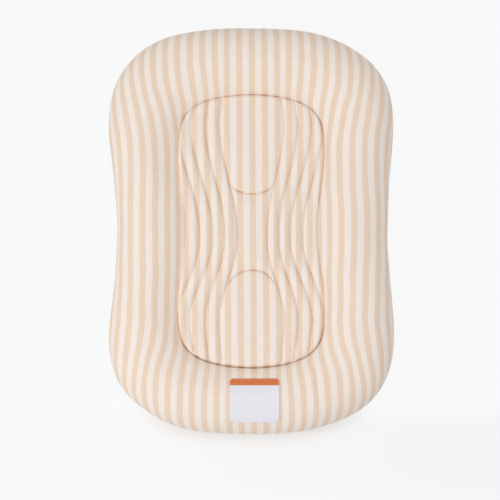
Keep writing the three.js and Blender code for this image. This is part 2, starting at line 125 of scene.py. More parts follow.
# The cloth's own coordinates in metres: u across the stripes, v along them
def layCloth(piece, cloth):
    mesh = piece.data
    corner = np.empty(len(mesh.loops), np.int32)
    mesh.loops.foreach_get("vertex_index", corner)
    laid = np.asarray(cloth)[corner].ravel().astype(np.float32)
    mesh.uv_layers.new(name="cloth").data.foreach_set("uv", laid)


def markPoints(piece, name, values):
    marks = piece.data.attributes.new(name, "FLOAT", "POINT")
    marks.data.foreach_set("value", np.asarray(values, np.float32))


# Where the points of a mesh lie, or which way they face
def readPoints(piece, kind="co"):
    values = np.empty(len(piece.data.vertices) * 3, np.float32)
    piece.data.vertices.foreach_get(kind, values)
    return values.reshape(-1, 3).astype(float)


def setPoints(piece, points):
    piece.data.vertices.foreach_set("co", np.asarray(points, np.float32).ravel())
    piece.data.update()


# Quads between the rows of a grid of points, closed round either way on request
def gridFaces(rows, columns, closeRows=False, closeColumns=False):
    r = np.arange(rows if closeRows else rows - 1)
    c = np.arange(columns if closeColumns else columns - 1)
    a, b = (index.ravel() for index in np.meshgrid(r, c, indexing="ij"))
    a2, b2 = (a + 1) % rows, (b + 1) % columns
    return np.stack([a * columns + b, a2 * columns + b, a2 * columns + b2, a * columns + b2], axis=1)


# A thin slab: the same grid of points above and below, and a wall round its border
def slabFaces(rows, columns):
    count = rows * columns
    over = gridFaces(rows, columns).tolist()
    under = [[i + count for i in f[::-1]] for f in over]
    border = [r * columns for r in range(rows)] + [(rows - 1) * columns + c for c in range(1, columns)]
    border += [r * columns + columns - 1 for r in range(rows - 2, -1, -1)] + list(range(columns - 2, 0, -1))
    return over + under + [[a + count, b + count, b, a] for a, b in zip(border, border[1:] + border[:1])]


# A line's points that are in use, split where it leaves the piece and comes back
def splitLine(points, inside, gap, least):
    run = [point for point, use in zip(points, inside) if use]
    breaks = [0] + [i for i in range(1, len(run)) if math.dist(run[i], run[i - 1]) > gap] + [len(run)]
    return [run[a:b] for a, b in zip(breaks[:-1], breaks[1:]) if b - a > least]


# Soft lumps of a stuffed form: smooth noise read at each point, about one lump per size, elsewhere for each seed
def lumps(points, size, seed):
    shift = Vector((seed * 7.13, seed * 3.71, seed * 1.37))
    return np.array([noise.noise(Vector(p) / size + shift) for p in points])


# In node trees an input takes another node's output or a plain value
def feed(tree, socket, value):
    if isinstance(value, bpy.types.NodeSocket):
        tree.links.new(value, socket)
    else:
        socket.default_value = value


def put(tree, kind, at, given=None, **settings):
    node = tree.nodes.new(kind)
    node.location = at
    for name, value in settings.items():
        setattr(node, name, value)
    for label, value in (given or {}).items():
        feed(tree, node.inputs[label], value)
    return node


def sumNode(tree, operation, *values, at=(0, 0), clamp=False):
    given = dict(enumerate(values))
    return put(tree, "ShaderNodeMath", at, given, operation=operation, use_clamp=clamp).outputs[0]


# An effect that several materials share: it reads a vector and named amounts
def groupWith(name, amounts, results):
    tree = bpy.data.node_groups.new(name, "ShaderNodeTree")
    tree.interface.new_socket("Vector", in_out="INPUT", socket_type="NodeSocketVector")
    for label, value in amounts.items():
        socket = tree.interface.new_socket(label, in_out="INPUT", socket_type="NodeSocketFloat")
        socket.default_value = value
    for label in results:
        tree.interface.new_socket(label, in_out="OUTPUT", socket_type="NodeSocketFloat")
    given, out = put(tree, "NodeGroupInput", (-900, 0)), put(tree, "NodeGroupOutput", (600, 0))
    return tree, given.outputs, out.inputs


# Plain weave read in cloth metres: the height of the threads, and how each thread's tone varies
def buildWeave():
    tree, given, out = groupWith("Plain weave", {"Thread": 0.0006, "Slub": 0.5}, ["Height", "Tone"])
    split = put(tree, "ShaderNodeSeparateXYZ", (-700, 200), {0: given["Vector"]})
    waves = []
    for axis, level in (("X", 300), ("Y", 100)):
        turns = sumNode(tree, "DIVIDE", split.outputs[axis], given["Thread"], at=(-520, level))
        angle = sumNode(tree, "MULTIPLY", turns, math.pi, at=(-360, level))
        waves.append(sumNode(tree, "SINE", angle, at=(-200, level)))
    crossing = sumNode(tree, "ABSOLUTE", sumNode(tree, "MULTIPLY", *waves, at=(-40, 200)), at=(60, 200))
    feed(tree, out["Height"], sumNode(tree, "POWER", crossing, 0.6, at=(220, 200)))
    tones = []
    for streaks, level in (((900, 35, 1), -200), ((35, 900, 1), -400)):  # per metre, along each set of threads
        placed = {0: given["Vector"], 1: streaks}
        placed = put(tree, "ShaderNodeVectorMath", (-520, level), placed, operation="MULTIPLY")
        speckle = {"Vector": placed.outputs[0], "Scale": 1, "Detail": 1}
        tones.append(put(tree, "ShaderNodeTexNoise", (-340, level), speckle).outputs["Fac"])
    centred = sumNode(tree, "SUBTRACT", sumNode(tree, "ADD", *tones, at=(-100, -300)), 1, at=(60, -300))
    feed(tree, out["Tone"], sumNode(tree, "MULTIPLY_ADD", centred, given["Slub"], 0.5, at=(220, -300), clamp=True))
    return tree


# Faint cloudiness, as cloth and plastic pick up in use
def buildMottle():
    tree, given, out = groupWith("Mottle", {"Size": 0.06, "Spread": 0.5}, ["Mask"])
    scale = sumNode(tree, "DIVIDE", 1, given["Size"], at=(-700, -100))
    cloud = put(tree, "ShaderNodeTexNoise", (-500, 0), {"Vector": given["Vector"], "Scale": scale, "Detail": 3})
    centred = sumNode(tree, "SUBTRACT", cloud.outputs["Fac"], 0.5, at=(-300, 0))
    feed(tree, out["Mask"], sumNode(tree, "MULTIPLY_ADD", centred, given["Spread"], 0.5, at=(-120, 0), clamp=True))
    return tree


# A soft-edged stripe along v: 1 in the middle of a dark stripe, 0 in a light one
def buildStripe():
    tree, given, out = groupWith("Woven stripe", {"Repeat": 0.0232, "Dark share": 0.5, "Edge": 0.02}, ["Mask"])
    split = put(tree, "ShaderNodeSeparateXYZ", (-700, 100), {0: given["Vector"]})
    turns = sumNode(tree, "DIVIDE", split.outputs["X"], given["Repeat"], at=(-540, 100))
    part = sumNode(tree, "FRACT", sumNode(tree, "ADD", turns, 0.5, at=(-400, 100)), at=(-260, 100))
    away = sumNode(tree, "ABSOLUTE", sumNode(tree, "SUBTRACT", part, 0.5, at=(-120, 100)), at=(0, 100))
    half = sumNode(tree, "MULTIPLY", given["Dark share"], 0.5, at=(-120, -80))
    start = sumNode(tree, "SUBTRACT", half, given["Edge"], at=(60, -60))
    end = sumNode(tree, "ADD", half, given["Edge"], at=(60, -200))
    ramp = {"Value": away, "From Min": start, "From Max": end, "To Min": 1, "To Max": 0}
    ramp = put(tree, "ShaderNodeMapRange", (240, 100), ramp, interpolation_type="SMOOTHSTEP")
    feed(tree, out["Mask"], ramp.outputs["Result"])
    return tree


weaveGroup = buildWeave()
mottleGroup = buildMottle()
stripeGroup = buildStripe()
cloudSpread = 0.8


def linear(r, g, b):
    parts = [c / 255 for c in (r, g, b)]
    return tuple(c / 12.92 if c <= 0.04045 else ((c + 0.055) / 1.055) ** 2.4 for c in parts) + (1,)


def placeGroup(tree, group, at, source, amounts):
    return put(tree, "ShaderNodeGroup", at, {"Vector": source, **amounts}, node_tree=group).outputs


def mixColours(tree, kind, factor, first, second, at):
    given = {"Factor": factor, "A": first, "B": second}
    return put(tree, "ShaderNodeMix", at, given, data_type="RGBA", blend_type=kind).outputs["Result"]


def emptyMaterial(name, roughness, metallic=0.0, sheen=0.0):
    material = bpy.data.materials.new(name)
    material.use_nodes = True
    shader = material.node_tree.nodes["Principled BSDF"]
    finish = {"Roughness": roughness, "Metallic": metallic, "Sheen Weight": sheen, "Sheen Roughness": 0.5}
    for label, value in finish.items():
        shader.inputs[label].default_value = value
    return material, material.node_tree, shader.inputs


def surfaceBump(tree, surface, height, strength, distance):
    bump = put(tree, "ShaderNodeBump", (-100, -300), {"Strength": strength, "Distance": distance, "Height": height})
    feed(tree, surface["Normal"], bump.outputs["Normal"])


# Tone up or down a colour by a mask that sits round one half
def varied(tree, colour, mask, amount, at):
    dim = put(tree, "ShaderNodeMapRange", at, {"Value": mask, "To Min": 1 - amount, "To Max": 1 + amount})
    level = dim.outputs["Result"]
    grey = put(tree, "ShaderNodeCombineXYZ", (at[0] + 160, at[1]), {"X": level, "Y": level, "Z": level})
    return mixColours(tree, "MULTIPLY", 1.0, colour, grey.outputs[0], (at[0] + 320, at[1]))


# Striped cotton: cream and sand stripes woven in, with painted shade that darkens them towards a warm brown in the
# seams' valleys and the pad's creases
stripedLook = {
    "cream": (243, 233, 224),
    "sand": (236, 212, 190),
    # Painted shade: the brown that seam valleys and creases are darkened towards, and how much of it shows on cream
    # stripes
    "shadeTone": (213, 177, 137),
    "shadeOnCream": 0.5,
    "repeat": 0.0236,
    "darkShare": 0.49,
    "edge": 0.07,
    "thread": 0.0006,
    "slub": 0.9,
    "threadTone": 0.07,
    "cloudSize": 0.07,
    "cloudTone": 0.012,
    "roughness": 0.92,
    "sheen": 0.12,
    "weaveHeight": 0.00012,
    "weaveBump": 0.35,
}


def stripedCotton(name, look):
    material, tree, surface = emptyMaterial(name, look["roughness"], sheen=look["sheen"])
    cloth = put(tree, "ShaderNodeUVMap", (-1300, 0), uv_map="cloth").outputs["UV"]
    place = put(tree, "ShaderNodeTexCoord", (-1300, -400)).outputs["Object"]
    stripe = {"Repeat": look["repeat"], "Dark share": look["darkShare"], "Edge": look["edge"]}
    stripe = placeGroup(tree, stripeGroup, (-1000, 200), cloth, stripe)["Mask"]
    weave = placeGroup(tree, weaveGroup, (-1000, -100), cloth, {"Thread": look["thread"], "Slub": look["slub"]})
    cloud = {"Size": look["cloudSize"], "Spread": cloudSpread}
    cloud = placeGroup(tree, mottleGroup, (-1000, -400), place, cloud)["Mask"]
    colour = mixColours(tree, "MIX", stripe, linear(*look["cream"]), linear(*look["sand"]), (-760, 200))
    colour = varied(tree, colour, weave["Tone"], look["threadTone"], (-560, 100))
    colour = varied(tree, colour, cloud, look["cloudTone"], (-560, -120))
    # The mesh attribute read here is painted shade: it darkens the cloth towards a warm brown in seam valleys and
    # creases, less on cream stripes
    paintedShade = put(tree, "ShaderNodeAttribute", (-760, -360), attribute_name="paintedShade").outputs["Fac"]
    onCream = look["shadeOnCream"]
    onStripe = sumNode(tree, "MULTIPLY_ADD", stripe, 1 - onCream, onCream, at=(-560, -300))
    paintedShade = sumNode(tree, "MULTIPLY", paintedShade, onStripe, at=(-360, -360))
    colour = mixColours(tree, "MULTIPLY", paintedShade, colour, linear(*look["shadeTone"]), (-60, 200))
    feed(tree, surface["Base Color"], colour)
    surfaceBump(tree, surface, weave["Height"], look["weaveBump"], look["weaveHeight"])
    return material


# A plain woven cloth or tape in one colour
plainLook = {"slub": 0.8, "cloudSize": 0.05, "cloudTone": 0.02, "weaveBump": 0.4}


def plainCloth(name, colour, thread, roughness, sheen, weaveHeight, tone=0.06):
    material, tree, surface = emptyMaterial(name, roughness, sheen=sheen)
    place = put(tree, "ShaderNodeTexCoord", (-1100, 0)).outputs["Object"]
    weave = placeGroup(tree, weaveGroup, (-860, 100), place, {"Thread": thread, "Slub": plainLook["slub"]})
    cloud = placeGroup(tree, mottleGroup, (-860, -160), place, {"Size": plainLook["cloudSize"], "Spread": cloudSpread})
    result = varied(tree, linear(*colour), weave["Tone"], tone, (-620, 100))
    result = varied(tree, result, cloud["Mask"], plainLook["cloudTone"], (-620, -160))
    feed(tree, surface["Base Color"], result)
    surfaceBump(tree, surface, weave["Height"], plainLook["weaveBump"], weaveHeight)
    return material


# The bolster: one stuffed ring, its section drawn from the outline in to the pad
bolster = {
    "stations": 860,
    "crestHeight": 0.100,
    "wideHeight": 0.046,
    "seamInset": 0.035,
    "crestShare": 0.5,
    "rimHeight": 0.062,
    "outsidePower": 2.3,
    "slopePower": 1.5,
    "underSteps": 10,
    "outsideSteps": 20,
    "slopeSteps": 28,
    "wallSteps": 4,
    "floorTuck": 0.0015,
    "lumps": [(0.110, 0.0012, 1), (0.045, 0.0005, 2)],  # size, height, seed
    "seamPucker": (0.0006, 0.016, 0.013, 5),  # height, wave, reach, seed
    "rimPucker": (0.0004, 0.011, 0.010, 6),
    "puckerWander": (0.03, 5),  # size, and how far the wave strays
    "flatAtSeam": 0.012,
    "flatAtRim": 0.006,
    "rimLift": 0.0055,
    "rimLiftReach": 0.006,
    # how far up the slope from the rim the painted shade of the pad's seam reaches
    "rimShadeReach": 0.0020,
    "blur": (10, 5, 3),  # stations along, columns across, and both ways for the uneven part
    "fullAtCrest": 0.35,  # share of a fuller side's move that is left there
}
ringOuter = evenOutline(boundary, bolster["stations"])
ringInner = evenOutline(padBoundary, bolster["stations"]) + [0, padMiddle]
ringWidth = np.linalg.norm(ringInner - ringOuter, axis=1)
ringInward = (ringInner - ringOuter) / ringWidth[:, None]


# From 0 along the pad's sides to 1 towards its ends
def towardsEnd(y, start=0.50, end=0.85):
    return smoothStep(np.abs(y) / padBoundary["length"] * 2, start, end)


# The gap round the pad, which closes where the seam lies in its soft valley
rimEnd = towardsEnd(ringInner[:, 1] - padMiddle)
rimMore = np.where(ringInner[:, 1] > padMiddle, gap["headMore"], gap["footMore"])
rimGap = gap["width"] * (gap["sides"] + rimMore * rimEnd)


# The same section for every station: insets and heights, from the base seam over the crest to the pad's rim
def bolsterGrid(look):
    quarter = np.pi / 2
    crest = ringWidth[:, None] * look["crestShare"]
    rim = ringWidth[:, None] - rimGap[:, None]
    under = quarter * np.arange(look["underSteps"]) / look["underSteps"]
    outside = quarter * np.arange(look["outsideSteps"]) / look["outsideSteps"]
    slope = quarter * np.arange(look["slopeSteps"] + 1) / look["slopeSteps"]
    overCrest, downSlope = 2 / look["outsidePower"], 2 / look["slopePower"]
    inset = np.concatenate([
        np.ones_like(crest) * look["seamInset"] * (1 - np.sin(under)),
        crest * (1 - np.cos(outside) ** overCrest),
        crest + (rim - crest) * np.sin(slope) ** downSlope,
    ], axis=1)
    top, wide, foot = look["crestHeight"], look["wideHeight"], look["rimHeight"]
    height = np.concatenate([
        coverFloor + (wide - coverFloor) * (1 - np.cos(under)),
        wide + (top - wide) * np.sin(outside) ** overCrest,
        foot + (top - foot) * np.abs(np.cos(slope)) ** downSlope,
    ])
    return ringPoints(inset, height)


# Points at these insets from the outline, and at one height for each column
def ringPoints(inset, height):
    plan = ringOuter[:, None, :] + ringInward[:, None, :] * inset[:, :, None]
    return np.concatenate([plan, np.broadcast_to(height, inset.shape)[:, :, None]], axis=2)


bolsterTop = bolsterGrid(bolster)
topColumns = bolsterTop.shape[1]
crestColumn = bolster["underSteps"] + bolster["outsideSteps"]

# The pad's face: channels narrow at the waist and wide at the bulge, with a raised oval towards each end
pad = {
    "stations": 1100,
    "seamHeight": 0.0635,
    "rise": 0.005,
    "edgeRoll": 0.009,
    "ribRise": 0.0056,
    "ribPower": 0.6,
    "groove": (0.0010, 0.0016),
    "ovalRise": 0.005,
    "ovalShoulder": 0.018,
    "channelAtWaist": [0.028, 0.0505, 0.0725, 0.096],
    "channelAtBulge": [0.060, 0.086, 0.113, 0.136],
    "channelWaist": (0.0, 0.022),
    "channelBulge": (0.198, 0.167),
    "channelDrawIn": 0.08,
    "channelsRight": 0.003,
    "headOval": (0.0685, 0.016),
    "footOval": (0.075, 0.022),
    "ovalPower": 2.4,
    "ovalHalfWidth": 0.041,
    "columnsBetween": [34, 9, 9, 9, 12],
    "squeeze": 0.5,
    "lumps": (0.05, 0.0004, 9),
    "flatAtLine": 0.006,
    # Painted shade along the sewn lines: beside each channel on its shaded flank, stronger on flanks turned from the
    # light, and round the ends of the ovals
    "flankPaintedShade": (0.20, 0.0032, 0.0007),  # strength, and reach before and behind the stitching
    "flankShade": (0.65, 0.35, 0.006),  # least, more, and how fast it turns
    "ovalPaintedShade": (0.75, 0.0016, 0.006),  # strength, reach, and where it fades at the channels
    "rimLift": 0.0040,
    "rimLiftReach": 0.004,
    "rimLiftLoss": (0.5, 1),  # share of the lift that is lost towards the head and the foot
    "clothRows": 3,
    "clothColumns": [0, 9, 15, 21, 27, 34, 36, 37, 38, 39, 40, 41, 43, 45, 46, 47, 48, 49, 50, 52, 54, 55, 56, 57, 58,
                     59, 61, 64, 66, 68, 70, 73],
    "clothHeld": (0.0015, 0.014),  # pinned this near a sewn line, and this near either end
    "clothFree": 0.004,
    "blur": (10, 1, 1),
}

# Painted shade in the valley of the seam round the pad: a brown darkening, strong at the head and foot, less towards
# the corners, and almost none along the sides
rimShadeLook = {
    "head": 0.85,
    "foot": 0.85,
    "sides": 0.4,
    "reach": 0.0022,
    "endsFrom": (0.80, 0.93),
    "sidesFrom": (0.130, 0.165),
    "headDeepest": (0.033, 0.020),  # place and reach
    "headLeast": 0.5,
    "headCorner": (0.092, 0.112),
    "footCorners": (0.094, 0.114),
    "footRight": (0.045, 0.075),
    "cornerLoss": 0.7,
    "rightLoss": 0.6,
}


def channelAt(index, y):
    start = np.where(y > 0, *pad["channelWaist"])
    bulge = np.where(y > 0, *pad["channelBulge"])
    swing = smoothStep(np.abs(y), start, bulge)
    drawIn = smoothStep(np.abs(y), bulge, padBoundary["length"] / 2)
    wide = pad["channelAtBulge"][index] * (1 - pad["channelDrawIn"] * drawIn)
    return pad["channelAtWaist"][index] + (wide - pad["channelAtWaist"][index]) * swing


# The channels sit a little over to the right, less so towards the pad's edge
def channelShift(x, y):
    half = np.maximum(halfWidthAt(padBoundary, y), 0.001)  # never nothing, as it is at the pad's tips
    return pad["channelsRight"] * (1 - np.abs(x) / half)


def ovalEdge(x, y):
    across = np.minimum(np.abs(x) / pad["ovalHalfWidth"], 1) ** pad["ovalPower"]
    head, foot = pad["headOval"], pad["footOval"]
    return np.where(y > 0, head[0] + head[1] * across, foot[0] + foot[1] * across)


def fromPadEdge(x, y):
    inward = np.minimum(halfWidthAt(padBoundary, y) - np.abs(x), halfLengthAt(padBoundary, x) - np.abs(y))
    return np.maximum(inward, 0)


# Height of the pad's face, and how near a point is to a sewn line, read from the pad's own middle
def padFace(x, y):
    fromEdge = fromPadEdge(x, y)
    x = x - channelShift(x, y)
    side = np.abs(x)
    edge = pillow(fromEdge, pad["edgeRoll"])
    channels = [channelAt(k, y) for k in range(4)]
    bounds = channels + [np.maximum(halfWidthAt(padBoundary, y), channels[3]) + pad["edgeRoll"]]
    pastOval = np.abs(y) - ovalEdge(x, y)
    fromChannel = np.maximum(channels[0] - side, 0)
    middle = np.where(
        pastOval > 0,
        pad["ovalRise"] * pillow(np.minimum(fromChannel, pastOval), pad["ovalShoulder"]),
        pad["ribRise"] * pillow(np.minimum(fromChannel, -pastOval), channels[0]),
    )
    rise = np.where(side < channels[0], middle, 0)
    for start, end in zip(bounds[:-1], bounds[1:]):
        share = np.clip((side - start) / (end - start), 0, 1)
        inside = (side >= start) & (side < end)
        rise = np.where(inside, pad["ribRise"] * np.sin(np.pi * share) ** pad["ribPower"], rise)
    toChannel = np.minimum.reduce([np.abs(side - c) for c in channels])
    toLine = np.where(side < channels[0], np.minimum(toChannel, np.abs(pastOval)), toChannel)
    depth, width = pad["groove"]
    rise = rise - depth * hump(toLine, width)
    return pad["seamHeight"] + pad["rise"] * edge + rise * edge, np.minimum(toLine, fromEdge)


# How much painted shade the pad's face gets: on the shaded flank of a channel, more where the flank turns from the
# light, round the ovals' ends, and along the seam round its edge
def padShadeAmount(x, y, look):
    x = x - channelShift(x, y)
    amount, before, behind = look["flankPaintedShade"]
    flank = np.zeros_like(x)
    for k in range(4):
        for side in (-1, 1):
            past = x - side * channelAt(k, y)
            flank = np.maximum(flank, amount * hump(past, np.where(past < 0, before, behind)))
    least, more, fade = look["flankShade"]
    flank = flank * (least + more * np.clip(-x * y / fade, -1, 1))
    strength, reach, fade = look["ovalPaintedShade"]
    oval = strength * hump(np.abs(np.abs(y) - ovalEdge(x, y)), reach)
    oval = oval * smoothStep(channelAt(0, y) - np.abs(x), 0, fade)
    edge = rimShadeAmount(x, y, rimShadeLook) * hump(fromPadEdge(x, y), rimShadeLook["reach"])
    return np.maximum.reduce([flank, oval, edge])


# How strong the painted shade in the seam's valley round the pad is at each place round it
def rimShadeAmount(x, y, look):
    (deepest, reach), least = look["headDeepest"], look["headLeast"]
    head = look["head"] * (least + (1 - least) * hump(x - deepest, reach))
    head = head * (1 - look["cornerLoss"] * smoothStep(-x, *look["headCorner"]))
    foot = look["foot"] * (1 - look["rightLoss"] * smoothStep(x, *look["footRight"]))
    foot = foot * (1 - look["cornerLoss"] * smoothStep(np.abs(x), *look["footCorners"]))
    sides = look["sides"] * smoothStep(np.abs(y), *look["sidesFrom"])
    return sides + (np.where(y > 0, head, foot) - sides) * towardsEnd(y, *look["endsFrom"])


# The pad's rim and the bolster's foot are drawn up along the sides, so that the seam lies in a soft valley there
def rimLift(y):
    return 1 - np.where(y > 0, *pad["rimLiftLoss"]) * towardsEnd(y)


# How the striped cloth lies: arc length across the object at each place along it, so stripes close up on slopes
clothLie = {
    "step": 0.002,
    "ribTakeUp": 1.0,
    "ribSamples": 400,
    "steepest": 1.8,
    "holdAt": 0.245,
    "fadeTo": 0.330,
    "driftAtMiddle": 0.0036,
    "driftSlope": -0.0065,
    "takeUpBlur": 12,
    "softenAcross": {-0.012: 0.1, -0.006: 0.22, 0: 0.36, 0.006: 0.22, 0.012: 0.1},
    "tuckReach": 0.45,
    "tuckBlur": 20,
    "tuckRows": [-0.360, -0.260, -0.195, -0.030, 0.212, 0.323],
    "tucks": {
        -1: [0.0010, 0.0040, 0.0034, 0.0048, 0.0038, 0.0018],
        1: [0.0006, 0.0050, 0.0046, 0.0006, -0.0005, 0.0020],
    },
    "tuckWidth": (0.003, 0.047),
    "tuckWidens": (0.235, 0.300),
}


def blurred(values, count, axis, closed=False):
    window = np.hanning(2 * count + 3)[1:-1]
    window /= window.sum()
    padding = [(0, 0)] * values.ndim
    padding[axis] = (count, count)
    wide = np.pad(values, padding, mode="wrap" if closed else "edge")
    length = values.shape[axis]
    return sum(w * np.take(wide, range(k, k + length), axis=axis) for k, w in enumerate(window))


# Running totals along each row, from nothing
def runningTotal(steps):
    return np.concatenate([np.zeros((len(steps), 1)), np.cumsum(steps, axis=1)], axis=1)


def measureCloth(look):
    step = look["step"]
    reach = np.arange(0, boundary["flare"] / 2 + step, step)
    ys = np.arange(-boundary["length"] / 2, boundary["length"] / 2 + step, step)
    flat = bolsterTop.reshape(-1, 3)
    skin = BVHTree.FromPolygons(flat.tolist(), gridFaces(len(ringWidth), topColumns, closeRows=True).tolist())
    fromMiddle = ys - padMiddle
    rim = np.where(np.abs(fromMiddle) < padBoundary["length"] / 2, halfWidthAt(padBoundary, fromMiddle), 0)
    above, down = 2 * bolster["crestHeight"], Vector((0, 0, -1))
    height = np.full((len(ys), len(reach)), bolster["rimHeight"])
    for j, y in enumerate(ys):
        for i, past in enumerate(reach):
            if i > 0 or rim[j] == 0:
                hit = skin.ray_cast(Vector((rim[j] + past, y, above)), down)[0]
                height[j, i] = hit.z if hit else height[j, i - 1]
    climb = np.clip(np.diff(height, axis=1), -look["steepest"] * step, look["steepest"] * step)
    # What the ribs take up, read along the pad's own width and held on past its ends
    share = np.sin(np.pi / 2 * np.arange(look["ribSamples"] + 1) / look["ribSamples"])
    held = np.clip(fromMiddle, -look["holdAt"], look["holdAt"])
    heldRim = halfWidthAt(padBoundary, held)
    across = heldRim[:, None] * share
    face = padFace(across, np.broadcast_to(held[:, None], across.shape))[0]
    wide = np.diff(across, axis=1)
    extra = np.hypot(wide, np.clip(np.diff(face, axis=1), -wide, wide)) - wide
    fade = look["ribTakeUp"] * (1 - smoothStep(np.abs(fromMiddle), look["holdAt"], look["fadeTo"]))
    takeUp = blurred(fade[:, None] * runningTotal(extra), look["takeUpBlur"], 0)
    overSlope = runningTotal(np.hypot(step, climb))
    return {"rows": ys, "rim": rim, "overSlope": overSlope, "ribRim": heldRim, "takeUp": takeUp}


laidCloth = measureCloth(clothLie)
report("cloth measured")


# A place in a table lies between two of its rows or columns: the first of them, and how far past it
def between(place, count):
    k = np.clip(place, 0, count - 1.001)  # just short of the last, so that a next one is always there
    first = k.astype(int)
    return first, k - first


def sampleRow(table, row, place):
    first, share = between(place, table.shape[1])
    return table[row, first] * (1 - share) + table[row, first + 1] * share


def clothInRow(x, row):
    rim = laidCloth["rim"][row]
    past = np.maximum(x - rim, 0) / clothLie["step"]
    onRibs = np.arcsin(np.clip(x / laidCloth["ribRim"][row], 0, 1)) / (np.pi / 2) * clothLie["ribSamples"]
    taken = sampleRow(laidCloth["takeUp"], row, onRibs)
    return np.minimum(x, rim) + sampleRow(laidCloth["overSlope"], row, past) + taken


def clothAt(x, y):
    lie = np.zeros_like(x)
    for away, weight in clothLie["softenAcross"].items():
        first, share = between((y + away - laidCloth["rows"][0]) / clothLie["step"], len(laidCloth["rows"]))
        near, far = clothInRow(np.abs(x), first), clothInRow(np.abs(x), first + 1)
        lie += weight * (near * (1 - share) + far * share)
    return np.sign(x) * lie


# Cloth taken in at the innermost channels, so that the stripes beyond them lie nearer the middle
def takenIn(values, look):
    rows = np.arange(-look["tuckReach"], look["tuckReach"], look["step"])
    amount = np.interp(rows, look["tuckRows"], values)
    window = np.hanning(2 * look["tuckBlur"] + 1)
    return rows, np.convolve(np.pad(amount, look["tuckBlur"], mode="edge"), window / window.sum(), mode="valid")


tucks = {side: takenIn(values, clothLie) for side, values in clothLie["tucks"].items()}

# How far in mm the stripes on the ring lie out from that, for rows in mm: at the pad, on the slope and at the crest
ringLean = {
    "rows": [-380, -345, -300, -270, -240, -216, -178, -103, 10, 66,
             104, 130, 150, 175, 198, 220, 243, 269, 295, 330, 370],
    "atPad": [0, -1.3, -1.9, -0.4, 2.4, -0.4, -5.4, -2.6, -0.4, -2.6,
              -5.2, -6.8, -7.4, -5.6, -0.9, 2.8, 2.8, 0.9, 0.6, 0.2, 0],
    "onSlope": [0, 0.4, 0.4, 0.2, 1.7, 0.7, -3.9, 0, 0.4, -0.7,
                -2.0, -3.5, -4.1, -3.1, 0.7, 3.1, 1.9, 0.7, 1.1, 0.4, 0],
    "atCrest": [0, 2.4, 5.2, 6.3, 4.1, 0.9, -3.5, 0.4, 0.9, -0.9,
                -2.4, -3.9, -3.9, -3.5, 0.6, 3.7, 6.5, 7.4, 3.7, 1.9, 0],
    "slopeAt": 0.4,
    "reach": 0.118,
    "heldAt": 0.22,
    "blur": 9,
    "fadeIn": (-0.004, 0.003),
}
leanRows = np.arange(-450, 450, 2)
leans = np.array([np.interp(leanRows, ringLean["rows"], ringLean[key]) for key in ("atPad", "onSlope", "atCrest")])
leans = blurred(leans, ringLean["blur"], 1)


def leanAt(x, y, look):
    past = np.abs(x) - halfWidthAt(padBoundary, np.clip(y - padMiddle, -look["heldAt"], look["heldAt"]))
    share = np.clip(past / look["reach"], 0, 1)
    atPad, onSlope, atCrest = (np.interp(y * 1000, leanRows, values) for values in leans)
    near = np.minimum(share / look["slopeAt"], 1)
    far = np.maximum((share - look["slopeAt"]) / (1 - look["slopeAt"]), 0)
    lean = atPad + (onSlope - atPad) * near + (atCrest - onSlope) * far
    return lean / 1000 * smoothStep(past, *look["fadeIn"])


def drifted(u, x, y):
    u = u - np.sign(x) * leanAt(x, y, ringLean)
    narrow, more = clothLie["tuckWidth"]
    width = narrow + more * smoothStep(np.abs(y), *clothLie["tuckWidens"])
    for side, (rows, amount) in tucks.items():
        past = side * x - channelAt(0, y - padMiddle)
        u = u + side * np.interp(y, rows, amount) * smoothStep(past, -width, width)
    return u - clothLie["driftAtMiddle"] - clothLie["driftSlope"] * y


# A sewn or pressed crease: a groove along a line in plan, with a soft lip on one side
def crease(x, y, line, depth, width, lip):
    nearest = np.full(x.shape, 1.0)
    signed = np.full(x.shape, 1.0)
    for (x0, y0), (x1, y1) in zip(line[:-1], line[1:]):
        dx, dy = x1 - x0, y1 - y0
        length = math.hypot(dx, dy)
        t = np.clip(((x - x0) * dx + (y - y0) * dy) / length ** 2, 0, 1)
        away = np.hypot(x - x0 - t * dx, y - y0 - t * dy)
        side = ((x - x0) * dy - (y - y0) * dx) / length
        closer = away < nearest
        nearest = np.where(closer, away, nearest)
        signed = np.where(closer, np.sign(side) * away, signed)
    lipAt, lipReach = 1.8 * width, 1.5 * width  # beside the groove
    return lip * hump(signed - lipAt, lipReach) - depth * hump(nearest, width)


creases = [
    {"line": [(0.0555, -0.300), (0.0550, -0.330), (0.0550, -0.366)], "depth": 0.0018, "width": 0.0016, "lip": 0.0006},
    {"line": [(0.121, -0.270), (0.125, -0.325), (0.131, -0.352)], "depth": 0.0013, "width": 0.0042, "lip": 0.0008},
    {"line": [(0.232, -0.175), (0.246, -0.215)], "depth": 0.0010, "width": 0.0045, "lip": 0.0005},
    {"line": [(-0.236, 0.060), (-0.243, 0.110)], "depth": 0.0008, "width": 0.0050, "lip": 0.0004},
]

# Covers swelled over their stuffing as cloth, held along their seams; the uneven part is softened and kept slight
swellLook = {
    "pressure": 4.0,
    "frames": 20,
    "steps": 5,
    "mass": 0.15,
    "stretch": 12,
    "bending": 1.5,
    "slack": 0.006,
    "cap": 0.005,
    "evenShare": 0.1,
    "uneven": 0.0014,
}


def newMeshFrom(thing):
    return bpy.data.meshes.new_from_object(thing.evaluated_get(bpy.context.evaluated_depsgraph_get()))


